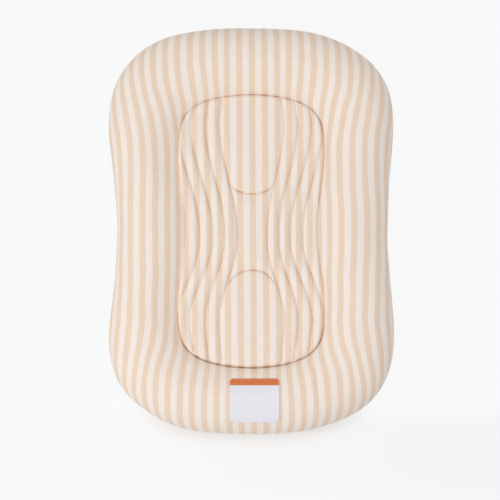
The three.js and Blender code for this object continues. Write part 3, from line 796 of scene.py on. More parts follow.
def clothMoved(name, grid, faces, pins, look):
    body = meshObject(name, grid.reshape(-1, 3), faces)
    sewn = body.vertex_groups.new(name="sewn")
    for index, weight in enumerate(pins.ravel()):
        if weight > 0:
            sewn.add([index], float(weight), "REPLACE")
    swell = body.modifiers.new("cloth", "CLOTH")
    held = swell.settings
    held.vertex_group_mass = "sewn"
    held.quality = look["steps"]
    held.mass = look["mass"]
    held.tension_stiffness = held.compression_stiffness = held.shear_stiffness = look["stretch"]
    held.bending_stiffness = look["bending"]
    held.use_pressure = True
    held.uniform_pressure_force = look["pressure"]
    held.shrink_min = -look["slack"]
    held.effector_weights.gravity = 0
    swell.collision_settings.use_collision = False
    swell.point_cache.frame_start = 1
    swell.point_cache.frame_end = look["frames"]
    for number in range(1, look["frames"] + 1):
        bpy.context.scene.frame_set(number)
    settled = newMeshFrom(body)
    after = np.empty(len(settled.vertices) * 3)
    settled.vertices.foreach_get("co", after)
    bpy.data.meshes.remove(settled)
    bpy.data.objects.remove(body)
    bpy.context.scene.frame_set(1)
    moved = after.reshape(grid.shape) - grid
    far = np.linalg.norm(moved, axis=2, keepdims=True)
    return moved * np.minimum(1, look["cap"] / np.maximum(far, look["cap"]))


# The even swell is drawn in the section already, so most of it is taken off again
def unevenPart(moved, blur, closed, look):
    along, across, soften = blur
    even = blurred(blurred(moved, along, 0, closed), across, 1)
    rest = blurred(blurred(moved - even, soften, 0, closed), soften, 1)
    far = np.linalg.norm(rest, axis=2, keepdims=True)
    return look["evenShare"] * even + rest * look["uneven"] / np.maximum(far, look["uneven"])


def stretchTo(values, kept, count, closed=False):
    at = np.arange(count)
    flat = values.reshape(len(kept), -1)
    if closed:
        kept, flat = np.append(kept, count), np.concatenate([flat, flat[:1]])
    after = np.clip(np.searchsorted(kept, at, side="right"), 1, len(kept) - 1)
    share = (at - kept[after - 1]) / (kept[after] - kept[after - 1])
    wide = flat[after - 1] * (1 - share[:, None]) + flat[after] * share[:, None]
    return wide.reshape((count,) + values.shape[1:])


# How a cover swells: simulated on some of its rows and columns, and spread over all of them
def swollen(name, grid, rows, columns, faces, pins, blur, closed):
    pins[:, [0, -1]] = 1
    moved = clothMoved(name, grid[np.ix_(rows, columns)], faces, pins, swellLook)
    moved = stretchTo(unevenPart(moved, blur, closed, swellLook), rows, grid.shape[0], closed)
    return stretchTo(moved.transpose(1, 0, 2), columns, grid.shape[1]).transpose(1, 0, 2)


# Where the stuffing is fuller or slacker than the even outline: place, reach, and how far the side moves out
fullness = [
    ((-0.205, -0.335), 0.060, -0.0055),
    ((-0.256, -0.120), 0.070, -0.0030),
    ((-0.255, 0.200), 0.110, 0.0022),
    ((0.252, 0.190), 0.090, 0.0020),
    ((0.250, -0.030), 0.110, 0.0035),
    ((0.250, 0.040), 0.045, 0.0018),
    ((-0.250, 0.005), 0.070, -0.0022),
    ((0.150, -0.360), 0.050, -0.0030),
    ((0.185, 0.338), 0.055, -0.0035),
    ((-0.165, 0.358), 0.045, 0.0018),
    ((0.185, -0.343), 0.045, -0.0015),
    ((-0.257, 0.120), 0.050, -0.0022),
]


def fuller(points, look):
    change = np.zeros(len(ringOuter))
    for place, reach, amount in fullness:
        change += amount * hump(np.linalg.norm(ringOuter - place, axis=1), reach)
    atCrest = look["fullAtCrest"]
    under = smoothStep(np.arange(look["underSteps"]), 0, look["underSteps"])
    outside = 1 - (1 - atCrest) * smoothStep(np.arange(look["outsideSteps"]), 0, look["outsideSteps"])
    slope = atCrest * (1 - smoothStep(np.arange(look["slopeSteps"] + 1), 0, look["slopeSteps"]))
    share = np.concatenate([under, outside, slope])
    points[:, :topColumns, :2] -= (change[:, None] * share)[:, :, None] * ringInward[:, None, :]


# Stuffing lumps, puckers where the cover is sewn, and the creases that lie on it
def unevenness(points, fromSeam, fromRim, look):
    push = np.zeros(fromSeam.shape)
    for size, amount, seed in look["lumps"]:
        push += amount * lumps(points.reshape(-1, 3), size, seed).reshape(push.shape)
    around = np.cumsum(np.linalg.norm(np.diff(ringOuter, axis=0, append=ringOuter[:1]), axis=1))
    outline = np.stack([ringOuter[:, 0], ringOuter[:, 1], around * 0], axis=1)
    size, stray = look["puckerWander"]
    for (amount, wave, reach, seed), away in ((look["seamPucker"], fromSeam), (look["rimPucker"], fromRim)):
        turn = 2 * np.pi * around / wave + stray * lumps(outline, size, seed)
        push += amount * np.exp(-away / reach) * np.sin(turn)[:, None]
    for fold in creases:
        push += crease(points[:, :, 0], points[:, :, 1], **fold)
    return push


def makeBolster(look):
    stations = len(ringWidth)
    walls = look["wallSteps"]
    wall = np.repeat(ringWidth[:, None] - rimGap[:, None], walls, axis=1)
    foot = np.full((stations, 1), look["seamInset"] + look["floorTuck"])
    drop = np.linspace(look["rimHeight"], fillFloor, walls + 1)[1:]
    under = ringPoints(np.concatenate([wall, foot], axis=1), np.append(drop, fillFloor))
    grid = np.concatenate([bolsterTop, under], axis=1)
    columns = grid.shape[1]
    faces = gridFaces(stations, columns, closeRows=True, closeColumns=True)
    piece = meshObject("bolster_cover", grid.reshape(-1, 3), faces)
    points = readPoints(piece).reshape(stations, columns, 3)
    normals = readPoints(piece, "normal").reshape(stations, columns, 3)
    # Cloth coordinates: measured across inside the crest, rolled off the crest outside it
    run = runningTotal(np.linalg.norm(np.diff(points, axis=1), axis=2))
    u = clothAt(points[:, :, 0], points[:, :, 1])
    v = points[:, :, 1].copy()
    fall = run[:, crestColumn:crestColumn + 1] - run[:, :crestColumn]
    u[:, :crestColumn] = u[:, crestColumn:crestColumn + 1] - fall * ringInward[:, :1]
    v[:, :crestColumn] = v[:, crestColumn:crestColumn + 1] - fall * ringInward[:, 1:]
    u = drifted(u, points[:, :, 0], v)
    fromSeam = run[:, :topColumns]
    fromRim = run[:, topColumns - 1:topColumns] - fromSeam
    offRim = smoothStep(fromRim, 0, look["flatAtRim"])
    push = unevenness(points[:, :topColumns], fromSeam, fromRim, look)
    fuller(points, look)
    few, fewAcross = np.arange(0, stations, 2), np.arange(0, topColumns, 2)
    faces = gridFaces(len(few), len(fewAcross), closeRows=True)
    pins = np.zeros((len(few), len(fewAcross)))
    top = points[:, :topColumns]
    moved = swollen("bolster_cloth", top, few, fewAcross, faces, pins, look["blur"], True)
    points[:, :topColumns] += moved * offRim[:, :, None]
    push *= smoothStep(fromSeam, 0, look["flatAtSeam"]) * offRim
    points[:, :topColumns] += normals[:, :topColumns] * push[:, :, None]
    drawn = look["rimLift"] * rimLift(ringInner[:, 1] - padMiddle)[:, None]
    points[:, :topColumns, 2] += drawn * np.exp(-fromRim / look["rimLiftReach"])
    points[:, topColumns, 2] += drawn[:, 0] / 2
    setPoints(piece, points.reshape(-1, 3))
    # Painted shade along the pad's seam: it fades up the bolster's slope from the rim and covers the wall down into the
    # gap
    rimShade = rimShadeAmount(ringInner[:, 0], ringInner[:, 1] - padMiddle, rimShadeLook)[:, None]
    paintedShade = np.zeros((stations, columns))
    paintedShade[:, :topColumns] = rimShade * hump(fromRim, look["rimShadeReach"])
    paintedShade[:, topColumns:] = rimShade
    layCloth(piece, np.stack([u, v], axis=2).reshape(-1, 2))
    markPoints(piece, "paintedShade", paintedShade.ravel())
    return piece


# Where the pad's columns stand at each row: crowded at the channels, and kept inside the narrow ends
def padColumns(half, y, look):
    sides = []
    for side in (-1, 1):
        channels = [channelAt(k, y) for k in range(4)]
        shifted = [c + side * look["channelsRight"] * (1 - c / half) for c in channels]
        knots = [0 * y] + shifted + [half]
        knots = [np.minimum(knot, half * (1 - look["squeeze"] * (5 - k) / 5)) for k, knot in enumerate(knots)]
        across = []
        for start, end, count in zip(knots[:-1], knots[1:], look["columnsBetween"]):
            across.append(start[:, None] + (end - start)[:, None] * easedShares(count, count))
        sides.append(side * np.concatenate(across + [half[:, None]], axis=1))
    return np.concatenate([sides[0][:, :0:-1], sides[1]], axis=1)


# The pad's top, its flat underside and upright walls, and a fan of faces that closes either end
def padFaces(rows, columns):
    lowStart = rows * columns
    tipStart = lowStart + 2 * rows
    faces = gridFaces(rows, columns)[:, [0, 3, 2, 1]].tolist()
    for r in range(rows - 1):
        a, b = lowStart + 2 * r, lowStart + 2 * r + 2
        topA, topB = r * columns, (r + 1) * columns
        faces += [[a, b, b + 1, a + 1], [a + 1, b + 1, topB + columns - 1, topA + columns - 1], [b, a, topA, topB]]
    for end, r in ((0, 0), (1, rows - 1)):
        tipTop, tipLow = tipStart + 2 * end, tipStart + 2 * end + 1
        first, last, a, b = r * columns, (r + 1) * columns - 1, lowStart + 2 * r, lowStart + 2 * r + 1
        fan = [[c, c + 1, tipTop] for c in range(first, last)]
        fan += [[a, tipLow, b], [b, tipLow, tipTop, last], [tipLow, a, first, tipTop]]
        faces += fan if end else [f[::-1] for f in fan]
    return faces


def makePad(look):
    quarter = look["stations"] // 4
    tip = padBoundary["length"] / 2
    edges = evenOutline(padBoundary, look["stations"])[np.arange(1 - quarter, quarter) % look["stations"]]
    half, y = edges[:, 0], edges[:, 1]
    x = padColumns(half, y, look)
    rows, columns = x.shape
    yy = np.repeat(y[:, None], columns, axis=1)
    z, toLine = padFace(x, yy)
    top = np.stack([x, yy + padMiddle, z], axis=2).reshape(-1, 3)
    size, height, seed = look["lumps"]
    top[:, 2] += height * lumps(top, size, seed) * smoothStep(toLine.ravel(), 0, look["flatAtLine"])
    fromEdge = np.maximum(half[:, None] - np.abs(x), 0).ravel()
    top[:, 2] += look["rimLift"] * rimLift(yy).ravel() * np.exp(-fromEdge / look["rimLiftReach"])
    few = np.unique(np.append(np.arange(0, rows, look["clothRows"]), rows - 1))
    right = np.array(look["clothColumns"])
    fewAcross = columns // 2 + np.unique(np.concatenate([-right, right]))
    pick = np.ix_(few, fewAcross)
    nearLine, nearEnd = look["clothHeld"]
    pins = ((toLine[pick] < nearLine) | (np.abs(yy[pick]) > tip - nearEnd)).astype(float)
    faces = gridFaces(len(few), len(fewAcross))[:, [0, 3, 2, 1]]
    grid = top.reshape(rows, columns, 3)
    moved = swollen("pad_cloth", grid, few, fewAcross, faces, pins, look["blur"], False)
    top += (moved * smoothStep(toLine, 0, look["clothFree"])[:, :, None]).reshape(-1, 3)
    low = np.array([[side * h, at + padMiddle, fillFloor] for h, at in zip(half, y) for side in (-1, 1)])
    tips = np.array([[0, end + padMiddle, level] for end in (-tip, tip) for level in (look["seamHeight"], fillFloor)])
    points = np.concatenate([top, low, tips])
    piece = meshObject("pad_cover", points, padFaces(rows, columns))
    u = drifted(clothAt(points[:, 0], points[:, 1]), points[:, 0], points[:, 1])
    layCloth(piece, np.stack([u, points[:, 1]], axis=1))
    below = points[rows * columns:]
    # Painted shade: on the pad's face in its creases, and on its walls along the seam
    paintedShade = np.append(padShadeAmount(x, yy, look).ravel(), rimShadeAmount(below[:, 0], below[:, 1] - padMiddle, rimShadeLook))
    markPoints(piece, "paintedShade", paintedShade)
    return piece


cotton = stripedCotton("striped_cotton", stripedLook)
bolsterPiece = makeBolster(bolster)
padPiece = makePad(pad)
for piece, name, replaced, fill in (
    (bolsterPiece, "bolster", ("cover_top", "liner_top", "bolster_fill"), 0.9),
    (padPiece, "pad", ("pad_face", "pad_core", "pad_backing", "base_foam"), 0.85),
):
    piece.data.materials.append(cotton)
    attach(piece, "lounger")
    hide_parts(*replaced)
    report(name + " made")


# Geometry Nodes pieces are grown on a carrier of plain edges and kept as one mesh
def carrier(name, lines):
    points, edges = [], []
    for line in lines:
        start = len(points)
        points += [tuple(p) for p in line]
        edges += [(start + k, start + k + 1) for k in range(len(line) - 1)]
    mesh = bpy.data.meshes.new(name)
    mesh.from_pydata(points, edges, [])
    return addObject(name, mesh)


def geometryTree(name, kinds):
    tree = bpy.data.node_groups.new(name, "GeometryNodeTree")
    for way in ("INPUT", "OUTPUT"):
        tree.interface.new_socket("Geometry", in_out=way, socket_type="NodeSocketGeometry")
    for label, kind in kinds.items():
        tree.interface.new_socket(label, in_out="INPUT", socket_type="NodeSocket" + kind)
    given, out = put(tree, "NodeGroupInput", (-900, 0)), put(tree, "NodeGroupOutput", (1100, 0))
    return tree, given.outputs, out.inputs


def grow(source, tree, **values):
    name = source.name
    modifier = source.modifiers.new("grow", "NODES")
    modifier.node_group = tree
    for item in tree.interface.items_tree:
        if item.in_out == "INPUT" and item.name in values:
            modifier[item.identifier] = values[item.name]
    mesh = newMeshFrom(source)
    bpy.data.objects.remove(source)
    mesh.name = name
    return addObject(name, mesh)


# Stitches: one small thread loop at every pitch along the lines, lying along them
def buildStitches():
    kinds = {"Pitch": "Float", "Length": "Float", "Thread": "Float", "Material": "Material"}
    tree, given, out = geometryTree("Stitch row", kinds)
    curve = put(tree, "GeometryNodeMeshToCurve", (-700, 100), {"Mesh": given["Geometry"]})
    spots = {"Curve": curve.outputs["Curve"], "Length": given["Pitch"]}
    spots = put(tree, "GeometryNodeCurveToPoints", (-500, 100), spots, mode="LENGTH").outputs
    loop = put(tree, "GeometryNodeMeshUVSphere", (-500, -200), {"Segments": 6, "Rings": 4, "Radius": 0.5})
    stretch = {"X": given["Thread"], "Y": given["Thread"], "Z": given["Length"]}
    stretch = put(tree, "ShaderNodeCombineXYZ", (-500, -400), stretch)
    shaped = {"Geometry": loop.outputs["Mesh"], "Scale": stretch.outputs["Vector"]}
    shaped = put(tree, "GeometryNodeTransform", (-280, -200), shaped)
    placed = {"Points": spots["Points"], "Instance": shaped.outputs["Geometry"], "Rotation": spots["Rotation"]}
    placed = put(tree, "GeometryNodeInstanceOnPoints", (-60, 100), placed)
    real = put(tree, "GeometryNodeRealizeInstances", (160, 100), {"Geometry": placed.outputs["Instances"]})
    smooth = put(tree, "GeometryNodeSetShadeSmooth", (360, 100), {"Geometry": real.outputs["Geometry"]})
    coated = {"Geometry": smooth.outputs["Geometry"], "Material": given["Material"]}
    coated = put(tree, "GeometryNodeSetMaterial", (560, 100), coated)
    feed(tree, out["Geometry"], coated.outputs["Geometry"])
    return tree


stitchTree = buildStitches()


def makeStitches(name, lines, look, material):
    sizes = {"Pitch": look["pitch"], "Length": look["length"], "Thread": look["thread"]}
    piece = grow(carrier(name, lines), stitchTree, Material=material, **sizes)
    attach(piece, "lounger")
    return piece


threadLook = {"thread": 0.0003, "roughness": 0.7, "sheen": 0.1, "weaveHeight": 0.00005, "tone": 0.05}


def threadMaterial(name, colour):
    return plainCloth(name, colour, **threadLook)


# Stitches in the pad's channels and round the ends of its ovals
channelStitch = {
    "pitch": 0.0042,
    "length": 0.0030,
    "thread": 0.0006,
    "colour": (232, 207, 182),
    "lift": 0.0001,
    "steps": 160,
    "ovalSteps": 40,
    "fromEdge": 0.003,
    "fromChannel": 0.002,
    "split": (0.02, 3),  # a wider step ends a line, which is left out if it has no more points than this
}


def channelLines(look):
    lines = []
    reach = padBoundary["length"] / 2
    y = np.linspace(-reach, reach, look["steps"])
    for k in range(4):
        for side in (-1, 1):
            x = side * channelAt(k, y)
            lines.append((x, y, np.abs(x) < halfWidthAt(padBoundary, y) - look["fromEdge"]))
    for end in (-1, 1):
        x = np.linspace(-pad["ovalHalfWidth"], pad["ovalHalfWidth"], look["ovalSteps"])
        y = end * ovalEdge(x, end * np.ones_like(x))
        lines.append((x, y, np.abs(x) < channelAt(0, y) - look["fromChannel"]))
    sewn = []
    for x, y, inside in lines:
        x = x + channelShift(x, y)
        sewn += splitLine(zip(x, y + padMiddle, padFace(x, y)[0] + look["lift"]), inside, *look["split"])
    return sewn


sandThread = threadMaterial("sand_thread", channelStitch["colour"])
padStitches = makeStitches("pad_stitches", channelLines(channelStitch), channelStitch, sandThread)
report("pad stitched")

# Blank two-tone patch sewn over the crest at the foot end
patch = {
    "left": -0.0395,
    "right": 0.0520,
    "inner": -0.2850,
    "outer": -0.3655,
    "lift": 0.0004,
    "thickness": 0.0009,
    "clear": 0.0002,
    "roll": 0.0012,
    "corner": 0.0085,
    "band": 0.0158,
    "bandBlend": 0.0004,
    "bandColour": (214, 117, 60),
    "fieldColour": (231, 231, 239),
    "finish": {"roughness": 0.75, "sheen": 0.08},
    "weave": {"Thread": 0.0003, "Slub": 0.5},
    "weaveTone": 0.03,
    "weaveBump": (0.3, 0.00005),
    "columns": 60,
    "rows": 64,
    "slopeSteps": 200,
    "stitch": {"pitch": 0.0030, "length": 0.0021, "thread": 0.00045, "setIn": 0.0022, "steps": 40},
    "threadColour": (240, 240, 244),
}


def skinFinder(piece):
    return BVHTree.FromPolygons(readPoints(piece).tolist(), [list(p.vertices) for p in piece.data.polygons])


# Where a plumb line from well above meets a cover, and which way the cover faces there
def dropOn(skin, x, y, above=0.3):
    return skin.ray_cast(Vector((x, y, above)), Vector((0, 0, -1)))[:2]


# Distances down the cover's slope from the patch's inner edge, and where they lie in plan
def patchLayout(look, skin):
    ys = np.linspace(look["inner"], look["outer"], look["slopeSteps"])
    middle = (look["left"] + look["right"]) / 2
    heights = np.array([dropOn(skin, middle, y)[0].z for y in ys])
    return np.concatenate([[0], np.cumsum(np.hypot(np.diff(ys), np.diff(heights)))]), ys


def patchMaterial(look):
    material, tree, surface = emptyMaterial("patch_cloth", **look["finish"])
    flat = put(tree, "ShaderNodeUVMap", (-1200, 0), uv_map="cloth").outputs["UV"]
    split = put(tree, "ShaderNodeSeparateXYZ", (-1000, 300), {0: flat})
    start, end = look["band"] - look["bandBlend"], look["band"] + look["bandBlend"]
    edge = {"Value": split.outputs["Y"], "From Min": start, "From Max": end}
    edge = put(tree, "ShaderNodeMapRange", (-800, 300), edge, interpolation_type="SMOOTHSTEP").outputs["Result"]
    colour = mixColours(tree, "MIX", edge, linear(*look["bandColour"]), linear(*look["fieldColour"]), (-600, 200))
    weave = placeGroup(tree, weaveGroup, (-1000, -100), flat, look["weave"])
    feed(tree, surface["Base Color"], varied(tree, colour, weave["Tone"], look["weaveTone"], (-560, -60)))
    surfaceBump(tree, surface, weave["Height"], *look["weaveBump"])
    return material


# The line of stitches inside the patch's edge: its corners are cut off by as much as it is set in
def patchSeam(look, length):
    inset, steps = look["stitch"]["setIn"], look["stitch"]["steps"]
    left, right, low, high = look["left"] + inset, look["right"] - inset, inset, length - inset
    across = np.linspace(left + inset, right - inset, steps)
    along = np.linspace(low + inset, high - inset, steps)
    back, home = np.linspace(right - inset, left + inset, steps), np.linspace(high - inset, low + inset, steps)
    ring = [(x, low) for x in across] + [(right, a) for a in along] + [(x, high) for x in back]
    return ring + [(left, a) for a in home]


def makePatch(look, skin):
    run, ys = patchLayout(look, skin)
    length, rows, columns, corner = run[-1], look["rows"], look["columns"], look["corner"]
    along = length * easedShares(rows, rows - 1)
    toEnd = np.minimum(along, length - along)
    draw = np.where(toEnd < corner, corner - np.sqrt(np.maximum(corner ** 2 - (corner - toEnd) ** 2, 0)), 0)
    share = easedShares(columns, columns - 1)
    tops, lows, flat = [], [], []
    for r in range(rows):
        left, right = look["left"] + draw[r], look["right"] - draw[r]
        for x in left + (right - left) * share:
            spot, normal = dropOn(skin, x, np.interp(along[r], run, ys))
            fromEdge = max(min(x - look["left"], look["right"] - x, toEnd[r]), 0)
            lows.append(spot + normal * look["lift"])
            rise = look["lift"] + look["clear"] + look["thickness"] * float(pillow(fromEdge, look["roll"]))
            tops.append(spot + normal * rise)
            flat.append((x, along[r]))
    piece = meshObject("sewn_patch", [tuple(p) for p in tops + lows], slabFaces(rows, columns))
    layCloth(piece, np.array(flat + flat))
    piece.data.materials.append(patchMaterial(look))
    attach(piece, "lounger")
    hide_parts("label_patch")
    ring = []
    for x, a in patchSeam(look, length):
        spot, normal = dropOn(skin, x, np.interp(a, run, ys))
        ring.append(tuple(spot + normal * (look["lift"] + look["thickness"] + look["clear"])))
    thread = threadMaterial("white_thread", look["threadColour"])
    stitches = makeStitches("patch_stitches", [ring + ring[:1]], look["stitch"], thread)


makePatch(patch, skinFinder(bolsterPiece))
report("patch sewn on")

# Quilted base panels: flat underneath on their binding, with stitched grooves pressed into both faces
panel = {
    "margin": 0.0320,
    "slotHalf": 0.008,
    "slotClosed": 0.0002,
    "slotBlend": 0.008,
    "slotFrom": -0.272,
    "slotTo": 0.254,
    "underMiddle": 0.00015,
    "top": 0.0073,
    "roll": 0.0045,
    "stations": 1440,
    "rows": 330,
    "columns": 96,
    "endShare": 0.9995,
    "narrowest": 0.003,
    "lumps": (0.03, 0.0003, 12),
    "grooveGap": 0.052,
    "groove": 0.0016,
    "grooveWidth": 0.0022,
    "grooveFrom": 0.006,
    "turn": 45,
    "quilting": {"lines": 12, "reach": 0.45, "steps": 260, "setIn": 0.004, "sunk": 0.0002, "split": (0.006, 4)},
    "stitch": {"pitch": 0.0040, "length": 0.0028, "thread": 0.0006},
    "cloth": {"colour": (232, 226, 216), "thread": 0.0007, "roughness": 0.85, "sheen": 0.08, "weaveHeight": 0.0001},
    "threadColour": (222, 214, 202),
}


# Quilting lines run both ways at a slant; the groove is deepest on a line
def quiltDepth(x, y, look):
    angle = math.radians(look["turn"])
    depth = np.zeros_like(x)
    for sign in (-1, 1):
        across = (x * math.cos(angle) + sign * y * math.sin(angle)) / look["grooveGap"]
        away = np.abs(across - np.round(across)) * look["grooveGap"]
        depth = np.maximum(depth, hump(away, look["grooveWidth"]))
    return depth


# The right panel's outer edge from foot to head, and how far the panels reach
def panelEdge(look):
    loop = evenOutline(boundary, look["stations"])
    onward = np.roll(loop, -1, axis=0) - np.roll(loop, 1, axis=0)
    inward = np.stack([-onward[:, 1], onward[:, 0]], axis=1) / np.linalg.norm(onward, axis=1)[:, None]
    edge = loop + inward * look["margin"] * np.sign(-np.sum(inward * loop, axis=1))[:, None]
    right = edge[edge[:, 0] > 0]
    return right[np.argsort(right[:, 1])], edge[:, 1].max()


def slotEdge(y, look):
    start, end, blend = look["slotFrom"], look["slotTo"], look["slotBlend"]
    near = smoothStep(y, start - blend, start) * (1 - smoothStep(y, end, end + blend))
    return look["slotClosed"] + (look["slotHalf"] - look["slotClosed"]) * near


def faceOutward(piece):
    mesh = bmesh.new()
    mesh.from_mesh(piece.data)
    bmesh.ops.recalc_face_normals(mesh, faces=mesh.faces)
    mesh.to_mesh(piece.data)
    mesh.free()


def makeBasePanel(side, look):
    rows, columns = look["rows"], look["columns"]
    right, reach = panelEdge(look)
    share = np.arange(rows) / (rows - 1)
    y = np.clip(-reach * np.cos(np.pi * share) * look["endShare"], right[0, 1], right[-1, 1])
    inner = slotEdge(y, look)
    outer = np.maximum(np.interp(y, right[:, 1], right[:, 0]), inner + look["narrowest"])
    x = inner[:, None] + (outer - inner)[:, None] * easedShares(columns, columns - 1)
    yy = np.repeat(y[:, None], columns, axis=1)
    ends = np.minimum(yy - y[0], y[-1] - yy)
    fromEdge = np.minimum.reduce([x - inner[:, None], outer[:, None] - x, ends])
    edge = pillow(np.maximum(fromEdge, 0), look["roll"])
    dip = quiltDepth(x, yy, look) * smoothStep(fromEdge, 0, look["grooveFrom"])
    middle = (look["top"] + look["underMiddle"]) / 2
    upper = middle + (look["top"] - middle) * edge - look["groove"] * dip
    lower = middle - (middle - look["underMiddle"]) * edge + look["groove"] * dip
    tops, lows = (np.stack([side * x, yy, z], axis=2).reshape(-1, 3) for z in (upper, lower))
    size, height, seed = look["lumps"]
    lows[:, 2] = np.maximum(lows[:, 2] + height * lumps(lows, size, seed) * edge.ravel(), 0)
    name = "base_panel_" + ("left" if side < 0 else "right")
    piece = meshObject(name, np.concatenate([tops, lows]), slabFaces(rows, columns))
    faceOutward(piece)
    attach(piece, "lounger")
    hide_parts("cover_base_" + ("left" if side < 0 else "right"))
    return piece


# Lines of quilting stitches, cut off where they leave the panel
def quiltLines(side, look):
    right = panelEdge(look)[0]
    angle = math.radians(look["turn"])
    sewn = look["quilting"]
    inset = sewn["setIn"]
    along = np.linspace(-sewn["reach"], sewn["reach"], sewn["steps"])
    height = np.full(sewn["steps"], look["underMiddle"] + look["groove"] - sewn["sunk"])
    lines = []
    for sign in (-1, 1):
        for k in range(-sewn["lines"], sewn["lines"] + 1):
            x = k * look["grooveGap"] * math.cos(angle) + along * math.sin(angle)
            y = sign * (k * look["grooveGap"] * math.sin(angle) - along * math.cos(angle))
            inside = (x > slotEdge(y, look) + inset) & (x < np.interp(y, right[:, 1], right[:, 0]) - inset)
            inside &= (y > right[0, 1] + inset) & (y < right[-1, 1] - inset)
            lines += splitLine(zip(side * x, y, height), inside, *sewn["split"])
    return lines


baseCloth = plainCloth("base_cloth", **panel["cloth"])
baseThread = threadMaterial("base_thread", panel["threadColour"])
for side, name in ((-1, "left"), (1, "right")):
    basePiece = makeBasePanel(side, panel)
    basePiece.data.materials.append(baseCloth)
    quilting = makeStitches("quilting_" + name, quiltLines(side, panel), panel["stitch"], baseThread)
report("base panels quilted")

# The zip: two woven tapes, each with a cord that carries moulded teeth, which mesh with those of the other side
zipLook = {
    "chainHalf": 0.240,
    "endGaps": (0.0015, 0.0030),
    "pitch": 0.0030,
    "cordAt": 0.00255,
    "cordSize": 0.00075,
    "middle": 0.0052,
    "tooth": (0.00150, 0.00062, 0.00085),
    "toothAt": 0.00165,
    "head": (0.00075, 0.00072, 0.00085),
    "headAt": 0.00005,
    "lineSteps": 30,
    "plastic": {"colour": (226, 214, 196), "roughness": 0.38, "metallic": 0.0, "grain": 0.004},
    "metal": {"colour": (186, 182, 174), "roughness": 0.32, "metallic": 1.0, "grain": 0.003},
    "tape": {"colour": (222, 206, 184), "thread": 0.0005, "roughness": 0.8, "sheen": 0.08, "weaveHeight": 0.00008},
}
casingLook = {"colour": (238, 235, 228), "thread": 0.0008, "roughness": 0.85, "sheen": 0.08, "weaveHeight": 0.00008}
wearLook = {"reach": 0.0003, "spread": 0.7, "cloudTone": 0.05, "paler": 1.35, "rougher": 0.15}


def buildEdgeWear():
    tree, given, out = groupWith("Edge wear", {"Reach": 0.0003, "Patches": 0.002}, ["Mask"])
    rounded = put(tree, "ShaderNodeBevel", (-600, 100), {"Radius": given["Reach"]}, samples=4).outputs["Normal"]
    true = put(tree, "ShaderNodeNewGeometry", (-600, -100)).outputs["Normal"]
    dot = put(tree, "ShaderNodeVectorMath", (-400, 0), {0: rounded, 1: true}, operation="DOT_PRODUCT")
    edge = {"Value": dot.outputs["Value"], "From Min": 1.0, "From Max": 0.85}
    edge = put(tree, "ShaderNodeMapRange", (-200, 0), edge).outputs["Result"]
    size = sumNode(tree, "DIVIDE", 1.0, given["Patches"], at=(-600, -300))
    patches = put(tree, "ShaderNodeTexNoise", (-400, -300), {"Vector": given["Vector"], "Scale": size}).outputs["Fac"]
    feed(tree, out["Mask"], sumNode(tree, "MULTIPLY", edge, patches, at=(100, 0), clamp=True))
    return tree


edgeWearGroup = buildEdgeWear()


# A hard surface in one colour, paler where its edges are rubbed, with roughness that varies in faint clouds
def hardSurface(name, look, colour, roughness, metallic, grain):
    material, tree, surface = emptyMaterial(name, roughness, metallic=metallic)
    place = put(tree, "ShaderNodeTexCoord", (-1100, 0)).outputs["Object"]
    cloud = placeGroup(tree, mottleGroup, (-860, -160), place, {"Size": grain, "Spread": look["spread"]})["Mask"]
    wear = placeGroup(tree, edgeWearGroup, (-860, 160), place, {"Reach": look["reach"], "Patches": grain})["Mask"]
    result = varied(tree, linear(*colour), cloud, look["cloudTone"], (-620, -160))
    worn = [min(1.0, c * look["paler"]) for c in linear(*colour)[:3]] + [1]
    feed(tree, surface["Base Color"], mixColours(tree, "MIX", wear, result, worn, (-60, 200)))
    rough = {"Value": cloud, "To Min": roughness, "To Max": min(1.0, roughness + look["rougher"])}
    rough = put(tree, "ShaderNodeMapRange", (-400, -420), rough)
    feed(tree, surface["Roughness"], rough.outputs["Result"])
    return material


